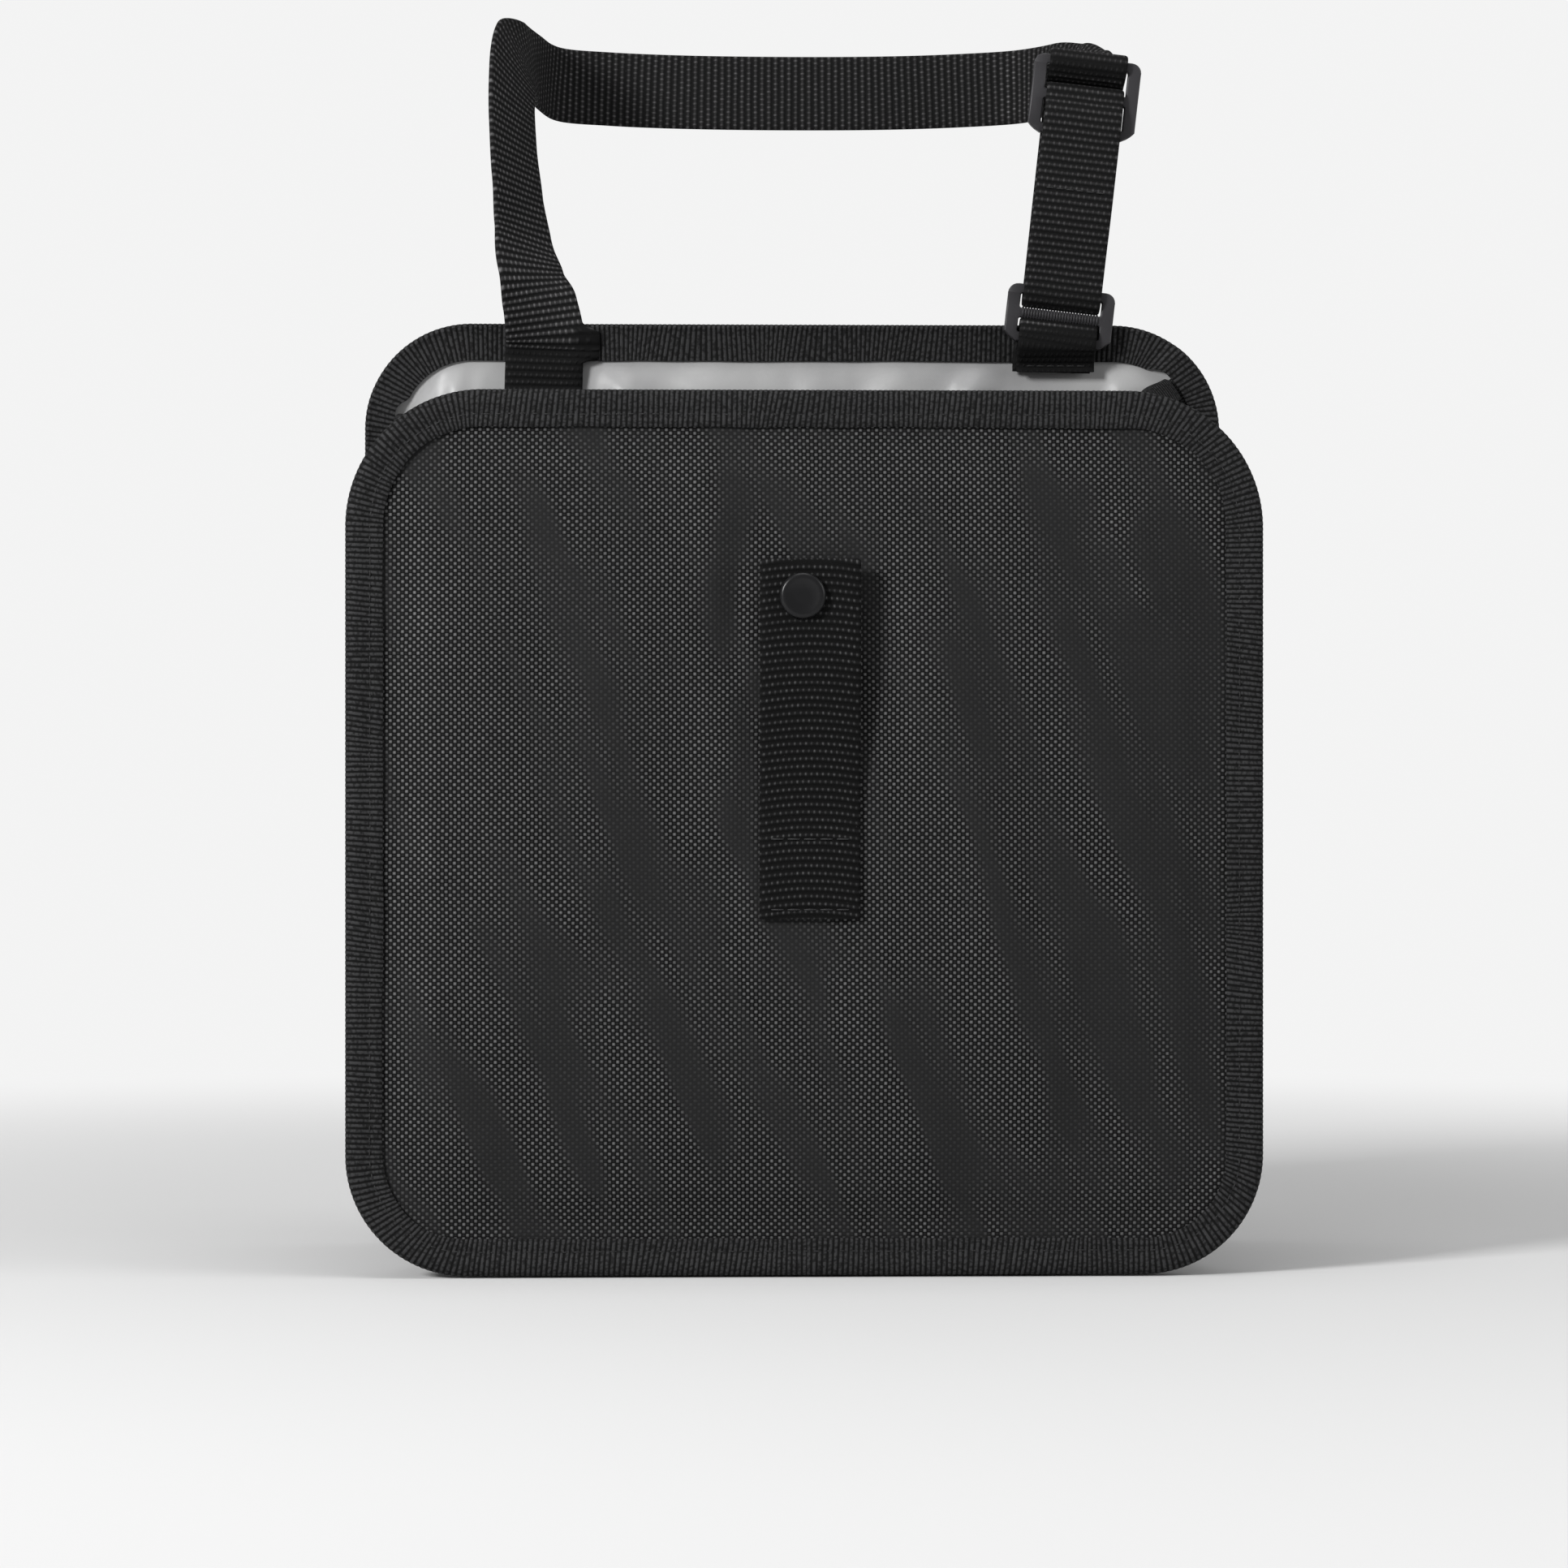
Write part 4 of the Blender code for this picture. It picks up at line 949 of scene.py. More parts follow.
def hang(
    name: str, node: str, outline: Outline, cells: int, face: Surface, finish: Finish, painted_sheen: Surface | None = None,
) -> None:
    """Build and dress one flat-cut sheet of a panel, mapped by X and Z.

    Args:
        name: Name of the new object, which starts with its panel's side.
        node: The CAD node that it stands for.
        outline: The panel's outline.
        cells: Number of squares across.
        face: Depth of the front face at X and Z.
        finish: Cloth or lining, which also sets the thickness.
        painted_sheen: Painted highlight: how much brighter and crisper the weave is painted at X and Z, from how
            that spot faces the lamps.
    """
    band = (BAG.outer_leg + BAG.edge_flat) / BAG.half_width
    steps = 6
    edge = [-1 + band * k / steps for k in range(steps)]
    inner = [(2 * k / cells - 1) * (1 - band) for k in range(cells + 1)]
    levels = edge + inner + [-value for value in reversed(edge)]
    behind = Vector((0, BAG.fabric if finish is Finish.CLOTH else BAG.lining, 0))
    rings: list[Ring] = []
    for v in levels:
        places = [square_to_panel(u, v, outline, BAG.ply_inset) for u in levels]
        front = [Vector((x, face(x, z), z)) for x, z in places]
        rings.append(front + [point + behind for point in reversed(front)])

    def uv(i: int, k: int) -> Pair:
        """Return a point's X and Z."""
        point = rings[i][k % len(rings[i])]
        return point.x, point.z

    sheet = loft(name, rings, uv)
    # Painted highlight: store how much brighter the weave is painted at each point.
    if painted_sheen:
        mark(sheet, "painted_sheen", [painted_sheen(point.x, point.z) for ring in rings for point in ring])
    install(sheet, finish, [node])
    name.split("_")[0] + "_binding_tape"


# Front panel


@dataclass
class FrontPanel:
    """Front panel of black cloth and the slack lining behind it."""

    bulge: float = 0.0065
    fold_fade: float = 0.016
    slack: float = 0.004
    fold_rise: float = 1.35
    ripple_rise: float = 0.00018
    pucker_rise: float = 0.00022
    calm_width: float = 0.014
    free_width: float = 0.006
    painted_sheen_reach: float = 0.003
    painted_sheen_most: float = 0.13
    folds: tuple[Fold, ...] = (
        Fold(-0.034, 0.105, -0.020, 0.052, 0.009, 0.0016),
        Fold(-0.100, 0.060, -0.078, -0.060, 0.020, 0.0022),
        Fold(-0.064, 0.040, -0.060, -0.045, 0.014, 0.0014),
        Fold(-0.118, -0.020, -0.084, -0.082, 0.011, 0.0018),
        Fold(-0.118, -0.060, -0.096, -0.118, 0.010, 0.0018),
        Fold(-0.058, -0.062, -0.030, -0.112, 0.010, 0.0016),
        Fold(0.036, 0.060, 0.066, -0.090, 0.013, 0.0024),
        Fold(0.052, 0.098, 0.104, -0.030, 0.012, 0.0018),
        Fold(0.018, -0.062, 0.040, -0.118, 0.011, 0.0018),
        Fold(0.094, 0.080, 0.106, 0.052, 0.008, 0.0014),
    )
    dents: tuple[Fold, ...] = (
        Fold(-0.0265, 0.030, -0.0255, -0.018, 0.0065, 0.0013),
        Fold(-0.0300, -0.022, -0.0200, -0.050, 0.0070, -0.0010),
        Fold(-0.0210, 0.064, -0.0230, 0.030, 0.0060, -0.0010),
        Fold(0.1290, 0.084, 0.1225, 0.070, 0.0035, -0.0012),
        Fold(0.0780, -0.050, 0.0700, -0.110, 0.0060, 0.0008),
        Fold(-0.0800, -0.090, -0.0660, -0.124, 0.0060, 0.0008),
    )

    def off_strap(self, x: float, z: float, margin: float, below: float) -> float:
        """Return how far a point lies outside a margin round the snap strap.

        Args:
            x: Place across.
            z: Place up.
            margin: Margin beside and above it.
            below: Margin below it.

        Returns:
            The distance, 0 inside the margin.
        """
        across = max(abs(x - BAG.snap_strap_x) - BAG.snap_strap_width / 2 - margin, 0.0)
        return math.hypot(across, max(z - BAG.snap_strap_top - margin, BAG.snap_strap_bottom - below - z, 0.0))

    def relief(self, x: float, z: float) -> float:
        """Return how far the outer face stands out: bulge, folds, ripples and sewing puckers.

        Args:
            x: Place across.
            z: Place up.

        Returns:
            The height off the flat panel.
        """
        across = abs(x) / BAG.half_width
        along = abs(z - FRONT.middle) / (BAG.front_height / 2)
        bulge = self.bulge * (1 - across ** 2.6) * (1 - along ** 2.6)
        edge = edge_distance(x, z, FRONT)
        fade = eased(edge / self.fold_fade)
        calm = eased(self.off_strap(x, z, 0.004, 0.006) / self.calm_width)
        free = eased(self.off_strap(x, z, 0.001, 0.001) / self.free_width)
        height = sum(fold.height(x, z) for fold in self.folds) * calm * self.fold_rise
        fine = sum(dent.height(x, z) for dent in self.dents)
        fine += self.ripple_rise * ripple(x * 95 + 3.1, z * 60, 1.7) * eased(edge / 0.006)
        pucker = self.pucker_rise * math.sin((x + z) * 900) * math.exp(-((edge - 0.004) / 0.003) ** 2)
        return (bulge + height) * fade + (fine * fade + pucker * eased(edge / 0.002)) * free

    def face(self, x: float, z: float) -> float:
        """Return the depth of the outer face."""
        return BAG.front_y - self.relief(x, z)

    def painted_sheen(self, x: float, z: float) -> float:
        """Return the painted highlight: how much more the weave shows where it faces left, towards the key lamp, or
        tilts up or down.

        Args:
            x: Place across.
            z: Place up.

        Returns:
            The change in painted highlight, from the slope of the relief.
        """
        reach = self.painted_sheen_reach
        rise_x = (self.relief(x + reach, z) - self.relief(x - reach, z)) / (2 * reach)
        rise_z = (self.relief(x, z + reach) - self.relief(x, z - reach)) / (2 * reach)
        # Painted highlight: brighter where the cloth tilts left, towards the key lamp, and where it tilts up or
        # down.
        return max(min(1.1 * rise_x + 0.30 * abs(rise_z), self.painted_sheen_most), -self.painted_sheen_most)

    def lining_face(self, x: float, z: float) -> float:
        """Return the depth of the lining, which hangs slack off its panel.

        Args:
            x: Place across.
            z: Place up.

        Returns:
            The depth of its front face.
        """
        across = min(abs(x) / (BAG.half_width - BAG.seam_inset), 1.0)
        along = min(abs(z - FRONT.middle) / (BAG.front_height / 2 - BAG.seam_inset), 1.0)
        inside = eased((1 - across) * 3) * eased((1 - along) * 3)
        crumple = 0.0016 * abs(ripple(x * 26 + z * 9, z * 16, 5.3)) + 0.0008 * ripple(x * 70, z * 60, 2.0)
        return BAG.front_y + BAG.lining_at + (self.slack + crumple) * inside

    def build(self) -> None:
        """Build and dress both sheets."""
        hang("front_panel_cloth", "front_panel", FRONT, 150, self.face, Finish.CLOTH, self.painted_sheen)
        hang("front_panel_lining", "front_lining", FRONT, 70, self.lining_face, Finish.LINING)


# Back panel


@dataclass
class BackPanel:
    """Back panel of black cloth and the crumpled lining on it."""

    strap_reach: float = 0.060
    folds: tuple[Fold, ...] = (
        Fold(-0.113, 0.142, -0.098, 0.100, 0.0050, 0.0042),
        Fold(-0.104, 0.138, -0.106, 0.104, 0.0030, -0.0016),
        Fold(-0.058, 0.142, -0.046, 0.096, 0.0050, 0.0040),
        Fold(-0.036, 0.138, -0.012, 0.100, 0.0070, 0.0024),
        Fold(0.004, 0.140, 0.012, 0.080, 0.0050, 0.0020),
        Fold(0.034, 0.140, 0.020, 0.090, 0.0060, 0.0024),
        Fold(0.062, 0.142, 0.048, 0.096, 0.0050, 0.0042),
        Fold(0.108, 0.134, 0.099, 0.100, 0.0070, 0.0016),
    )

    def cloth_face(self, x: float, z: float) -> float:
        """Return the depth of the cloth's inner face."""
        soft = 0.00025 * ripple(x * 40, z * 40, 9.1) * eased(edge_distance(x, z, BACK) / 0.02)
        return -BAG.fabric - abs(soft) * 0.5

    def lining_face(self, x: float, z: float) -> float:
        """Return the depth of the lining's face inside the bag.

        Args:
            x: Place across.
            z: Place up.

        Returns:
            The depth, calm where the strap and the ring's tab lie on it.
        """
        edge = edge_distance(x, z, BACK)
        fade = eased((edge - 0.001) / 0.010)
        for place in (BAG.left_strap_x, BAG.tab_x):
            beside = max(abs(x - place) - BAG.web_width / 2 - 0.001, 0.0)
            below = max(BAG.back_top - self.strap_reach - z, 0.0)
            fade *= eased(math.hypot(beside, below) / 0.008)
        height = sum(fold.height(x, z) for fold in self.folds)
        height += 0.0022 * abs(ripple(x * 34 + z * 14, z * 20, 0.4))
        height += 0.0006 * (ripple(x * 90, z * 70, 4.0) + 1)
        return -BAG.top_depth - height * fade

    def build(self) -> None:
        """Build and dress both sheets."""
        hang("back_panel_cloth", "back_panel", BACK, 90, self.cloth_face, Finish.CLOTH)
        hang("back_panel_lining", "back_lining", BACK, 130, self.lining_face, Finish.LINING)


# Gusset


class End(Enum):
    """Angles round the top corners at which the gusset ends, front and back."""

    LEFT = (math.radians(24), math.radians(10))
    RIGHT = (math.radians(70), math.radians(42))


@dataclass
class Gusset:
    """Strip that makes the sides and bottom, its lining and its taped ends."""

    crease_depth: float = 0.010
    crease_at_end: float = 0.003
    crease_fade: float = 0.050
    pull: float = 0.0062
    pull_at: float = 0.80
    pull_width: float = 0.13
    shares: int = 30
    rim_leg: float = 0.007
    rim_gap: float = 0.0006
    rim_rib: float = 0.00010
    rim_width: float = 0.018
    strip_width: float = 0.124

    def crease(self, share: float, level: float) -> float:
        """Return how far the strip folds inwards.

        Args:
            share: Share of the way from front to back.
            level: Height.

        Returns:
            The depth of the fold there.
        """
        depth = mix(self.crease_at_end, self.crease_depth, eased((level - BAG.bottom) / 0.10))
        near_top = eased((level - BAG.front_top + self.crease_fade) / self.crease_fade)
        depth = mix(depth, self.crease_at_end, near_top)
        return depth * math.sin(math.pi * share) ** 2

    def slump(self, point: Vector, share: float) -> float:
        """Return how far the right free end sags towards the middle near the back.

        Args:
            point: A point of the strip.
            share: Its share of the way from front to back.

        Returns:
            The sag there.
        """
        if point.x < 0:
            return 0.0
        angles = End.RIGHT.value
        levels = [
            outline.top - outline.top_radius + (outline.top_radius - BAG.seam_inset) * math.sin(angle)
            for outline, angle in zip((FRONT, BACK), angles)
        ]
        near = eased(1 + (point.z - mix(levels[0], levels[1], share)) / self.crease_fade)
        return self.pull * near * math.exp(-((share - self.pull_at) / self.pull_width) ** 2)

    def wall_point(self, front: Stop, back: Stop, share: float, offset: float, depth: float) -> Vector:
        """Return a point of the wall.

        Args:
            front: Station on the front panel's seam.
            back: Station on the back panel's seam.
            share: Share of the way from front to back.
            offset: Distance inside the wall's outer face.
            depth: Depth of the flange at the wall's two ends.

        Returns:
            The point in the row frame.
        """
        point = front[0].lerp(back[0], share)
        normal = front[1].lerp(back[1], share).normalized()
        soft = math.sin(math.pi * share)
        wrinkle = 0.0011 * soft * ripple(point.x * 24, share * 2.2, point.z * 30 + 7)
        wrinkle += 0.0005 * soft * ripple(point.x * 70, share * 5.0, point.z * 80)
        y = mix(BAG.front_y + depth, -depth, share)
        sag = Vector((-self.slump(point, share), 0, 0))
        return point - normal * (offset + self.crease(share, point.z) + wrinkle) + sag + Vector((0, y, 0))

    def ring(self, front: Stop, back: Stop, flange: Pair, offsets: Pair) -> Ring:
        """Return one closed cross-section of the strip or of its lining.

        Args:
            front: Station on the front panel's seam.
            back: Station on the back panel's seam.
            flange: Depths of the flange's two faces.
            offsets: Distances of the wall's two faces inside the outer one.

        Returns:
            The section, out along one face and home along the other.
        """
        reach = BAG.seam_inset - BAG.ply_inset

        def face(deep: float, offset: float) -> Ring:
            """Return one face from the front's tip to the back's."""
            points = [front[0] + front[1] * reach + Vector((0, BAG.front_y + deep, 0))]
            for k in range(self.shares + 1):
                depth = BAG.seam_depth if 0 < k < self.shares else deep
                points.append(self.wall_point(front, back, k / self.shares, offset, depth))
            return points + [back[0] + back[1] * reach + Vector((0, -deep, 0))]

        return face(flange[0], offsets[0]) + face(flange[1], offsets[1])[::-1]

    def strip(self, name: str, flange: Pair, offsets: Pair) -> tuple[Piece, float]:
        """Build the strip or its lining.

        Args:
            name: Name of the new object.
            flange: Depths of the flange's two faces.
            offsets: Distances of the wall's two faces inside the outer one.

        Returns:
            The new object and its length.
        """
        front = FRONT.open_run(End.LEFT.value[0], End.RIGHT.value[0], BAG.seam_inset)
        back = BACK.open_run(End.LEFT.value[1], End.RIGHT.value[1], BAG.seam_inset)
        rings = [self.ring(a, b, flange, offsets) for a, b in zip(front, back)]
        walked = walked_along([stop[0] for stop in front])
        half = len(rings[0]) // 2

        def uv(i: int, k: int) -> Pair:
            """Return the place across the strip and along it."""
            k %= 2 * half
            station = k if k < half else 2 * half - 1 - k
            return (station - 1) / self.shares * BAG.depth, walked[min(i, len(walked) - 1)]

        return loft(name, rings, uv), walked[-1]

    def rim(self, name: str, side: int, node: str) -> None:
        """Build the folded tape on one free end of the strip.

        Args:
            name: Name of the new object.
            side: -1 for the left end, 1 for the right end.
            node: The CAD node that it stands for.
        """
        steps, samples = 5, 4
        seams = []
        for outline, angle in zip((FRONT, BACK), (End.RIGHT if side > 0 else End.LEFT).value):
            turn = self.rim_leg / (outline.top_radius - BAG.seam_inset)
            seams.append([
                outline.near_end(side, angle - turn * (1 - k / steps), BAG.seam_inset) for k in range(steps + 1)
            ])
        front, back = seams
        length = BAG.depth - 2 * BAG.seam_depth
        margin = (BAG.gap + BAG.tape + 0.0006) / length
        inner = BAG.fabric + BAG.gap + BAG.lining + self.rim_gap
        tip = self.rim_gap + BAG.tape
        count = samples * round(length / BAG.rib)
        rings: list[Ring] = []
        for j in range(count + 1):
            share = mix(margin, 1 - margin, j / count)
            rib = self.rim_rib * abs(math.sin(math.pi * j / samples))

            def place(station: int, offset: float) -> Vector:
                """Return a point at a station and a distance inside the wall."""
                return self.wall_point(front[station], back[station], share, offset, BAG.seam_depth)

            normal = front[-1][1].lerp(back[-1][1], share).normalized()
            ahead = Vector((-normal.z, 0, normal.x)) * side
            outer, deep = -tip - rib, inner + BAG.tape + rib
            middle = (outer + deep) / 2
            ring = [place(k, outer) for k in range(steps + 1)]
            for level, inwards, lead in ((outer, 0.35, 0.8), (outer, 0.8, 1), (deep, 0.8, 1), (deep, 0.35, 0.8)):
                ring.append(place(-1, mix(level, middle, inwards)) + ahead * (tip * lead + rib))
            ring += [place(k, deep) for k in range(steps, -1, -1)]
            ring += [place(k, inner) for k in range(steps + 1)]
            ring[-1] = ring[-1] + ahead * self.rim_gap
            ring.append(place(-1, -self.rim_gap) + ahead * self.rim_gap)
            ring += [place(k, -self.rim_gap) for k in range(steps - 1, -1, -1)]
            rings.append(ring)
        widths = walked_along(rings[0] + rings[0][:1])
        tape = loft(name, rings, lambda i, k: (widths[k], i * BAG.rib / samples))
        install(tape, Finish.TAPE, [node])

    def build(self) -> None:
        inner = BAG.fabric + BAG.gap
        for name, finish, node, flange, offsets in (
            ("gusset_cloth", Finish.CLOTH, "side_gusset", (BAG.seam_depth, BAG.gusset_at), (0.0, BAG.fabric)),
            ("gusset_strip_lining", Finish.LINING, "gusset_lining",
             (BAG.gusset_lining_at + BAG.lining, BAG.gusset_lining_at), (inner, inner + BAG.lining)),
        ):
            strip, length = self.strip(name, flange, offsets)
            install(strip, finish, [node])
        self.rim("left_rim_tape", -1, "left_rim_binding")
        self.rim("right_rim_tape", 1, "right_rim_binding")


# Bindings


@dataclass
class Binding:
    """Folded ribbed tape round a panel's edge, with its seam stitches."""

    name: str
    node: str
    outline: Outline
    face_y: float
    inward: int
    ends: tuple[float, float]
    seed: float
    width: float = 0.022
    rib_height: float = 0.00013
    samples: int = 4
    taper: float = math.radians(12)
    stitch_inset: float = 0.0074
    stitch_pitch: float = 0.0036
    stitch_width: float = 0.00042
    stitch_rise: float = 0.00030
    nose: float = 0.0019
    swell: Pair = (0.00075, 0.00045)

    def seam_share(self, normal: Vector) -> float:
        """Return 1 where the gusset is sewn in and 0 along the free top edge."""
        end = self.ends[1] if normal.x > 0 else self.ends[0]
        return 1 - eased((math.atan2(normal.z, abs(normal.x)) - end - self.taper / 2) / self.taper)

    def crown(self, inset: float) -> float:
        """Return how far the outer leg swells on both sides of its line of stitches."""
        inner = (inset - self.stitch_inset) / (BAG.outer_leg - self.stitch_inset)
        return self.swell[0] * arch(inset / self.stitch_inset) + self.swell[1] * arch(inner)

    def section(self, depth: float, inner: float, rib: float, sway: float) -> list[Pair]:
        """Return the tape's cross-section as insets and depths.

        Args:
            depth: Depth at which the inner leg's near face lies.
            inner: Length of the inner leg.
            rib: Height of the rib at this station.
            sway: How far the legs' edges wander here.

        Returns:
            Pairs of inset from the outline and depth into the bag.
        """
        top, low, nose = -BAG.gap - BAG.tape, depth + BAG.tape, self.nose
        middle = (top + low) / 2
        leg = BAG.outer_leg + sway
        pairs = [(leg, top - rib * 0.5)]
        for k in range(1, 9):
            inset = mix(leg, nose, k / 8)
            pairs.append((inset, top - (rib + self.crown(inset))))
        for k in range(1, 8):
            angle = math.pi * k / 8
            inset = nose * (1 - math.sin(angle)) - rib * math.sin(angle)
            pairs.append((inset, middle - (middle - top + self.crown(nose)) * math.cos(angle)))
        pairs += [(mix(nose, inner - sway, k / 4), low + rib) for k in range(5)]
        pairs += [
            (inner - sway, depth), (mix(BAG.tape, inner, 0.5), depth),
            (BAG.tape + 0.0004, depth), (BAG.tape, middle),
            (BAG.tape + 0.0004, -BAG.gap), (mix(BAG.tape, BAG.outer_leg, 0.5), -BAG.gap),
            (leg, -BAG.gap),
        ]
        return pairs

    def build(self) -> None:
        stops, total = self.outline.walk(BAG.rib / self.samples, 0.006)
        rings: list[Ring] = []
        widths: list[float] = []
        for k, (edge, normal, _walked) in enumerate(stops):
            share = self.seam_share(normal)
            depth = mix(BAG.top_depth, BAG.seam_depth, share) + BAG.gap
            rib = self.rib_height * abs(math.sin(math.pi * k / self.samples))
            spot = edge * 60
            sway = 0.00035 * ripple(spot.x, spot.z, self.seed)
            bow = 0.00030 * ripple(spot.x * 0.6, spot.z * 0.6, self.seed + 5)
            skew = 0.07 + 0.18 * ripple(spot.x * 0.9, spot.z * 0.9, self.seed + 9)
            along = Vector((-normal.z, 0, normal.x))
            ring = []
            pairs = self.section(depth, mix(BAG.free_leg, BAG.inner_leg, share), rib, sway)
            for inset, deep in pairs:
                grip = eased((BAG.outer_leg - inset) / 0.003) if deep < 0 else 0.0
                out = (bow if deep < -BAG.gap - 1e-6 else 0.0) * grip
                point = edge - normal * inset + along * (skew * inset)
                ring.append(point + Vector((0, self.face_y + self.inward * (deep - out), 0)))
            rings.append(ring)
            widths = widths or walked_along([Vector(pair) for pair in pairs + pairs[:1]])
        step = total / len(stops)
        tape = loft(self.name + "_tape", rings, lambda i, k: (widths[k], i * step), closed=True)
        install(tape, Finish.TAPE, [self.node])
        self.name.split("_")[0] + "_panel_cloth"
        self.stitches()

    def stitches(self) -> None:
        """Sew the tape through with small separate stitches."""
        stops, _total = self.outline.walk(self.stitch_pitch, self.stitch_inset)
        depth = Vector((0, self.face_y - self.inward * (BAG.gap + BAG.tape + 0.00018), 0))
        rows = []
        for k, (edge, normal, _walked) in enumerate(stops):
            inset = self.stitch_inset + 0.0002 * ripple(k * 0.31, 0.0, self.seed)
            along = Vector((-normal.z, 0, normal.x)) * (self.stitch_pitch * 0.62)
            rows.append((edge - normal * inset + depth, along, FRONTWARDS * self.inward))
        item = stitch_mesh(self.name + "_stitches", rows, self.stitch_width, self.stitch_rise)
        item.data.materials.append(Finish.THREAD.material())
        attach(item, "root")
        Finish.THREAD.slot
        LOG.info("%s: %d stitches", item.name, len(stops))


# Stitches


def stitch_mesh(name: str, rows: Sequence[tuple[Vector, Vector, Vector]], width: float, rise: float) -> Piece:
    """Build small arched stitches as one piece.

    Args:
        name: Name of the new object.
        rows: Middle, run from end to end and unit way out of each stitch.
        width: Thickness of the thread.
        rise: Height of a stitch's arch.

    Returns:
        The new object.
    """
    sides, spans = 6, 5
    points: list[Vector] = []
    faces: list[tuple[int, ...]] = []
    places: list[float] = []
    for centre, run, out in rows:
        base = len(points)
        across = run.cross(out).normalized()
        for i in range(spans + 1):
            height = arch(i / spans)
            size = width / 2 * mix(0.55, 1.0, height)
            middle = centre + run * (i / spans - 0.5) + out * (rise * (height - 0.6))
            for k in range(sides):
                angle = 2 * math.pi * k / sides
                points.append(middle + (across * math.cos(angle) + out * math.sin(angle)) * size)
        for i in range(spans):
            low, high = base + i * sides, base + (i + 1) * sides
            for k in range(sides):
                n = (k + 1) % sides
                faces.append((low + k, low + n, high + n, high + k))
                for s, w in ((k, i), (k + 1, i), (k + 1, i + 1), (k, i + 1)):
                    places += (s / sides * math.pi * width, w / spans * run.length)
        for i in (0, spans):
            faces.append(tuple(base + i * sides + k for k in range(sides)))
            places += [0.0, i / spans * run.length] * sides
    return mesh_object(name, points, faces, places)


def sew(name: str, node: str, corners: Sequence[Vector], pitch: float, width: float, rise: float) -> None:
    """Sew straight rows from corner to corner, on the side that faces the front.

    Args:
        name: Name of the new piece.
        node: The CAD node that it stands for.
        corners: Ends of the rows, in order.
        pitch: Wanted pitch of the stitches.
        width: Thickness of the thread.
        rise: Height of each stitch's arch.
    """
    rows = []
    for a, b in zip(corners, corners[1:]):
        count = max(round((b - a).length / pitch), 1)
        step = (b - a) / count
        rows += [(a + step * (k + 0.5), step * 0.74, FRONTWARDS) for k in range(count)]
    install(stitch_mesh(name, rows, width, rise), Finish.THREAD, [node])


# Webbing


def curve_point(a: Vector, b: Vector, c: Vector, d: Vector, t: float) -> Vector:
    """Return a point between b and c of a smooth curve that never loops.

    Args:
        a: Stop before b.
        b: Start of the span.
        c: End of the span.
        d: Stop after c.
        t: Share of the span.

    Returns:
        The point.
    """
    first = max((b - a).length ** 0.5, 1e-4)
    second = max((c - b).length ** 0.5, 1e-4)
    third = max((d - c).length ** 0.5, 1e-4)
    leave = ((b - a) / first - (c - a) / (first + second) + (c - b) / second) * second
    reach = ((c - b) / second - (d - b) / (second + third) + (d - c) / third) * second
    square, cube = t * t, t * t * t
    return (b * (2 * cube - 3 * square + 1) + leave * (cube - 2 * square + t)
            + c * (3 * square - 2 * cube) + reach * (cube - square))


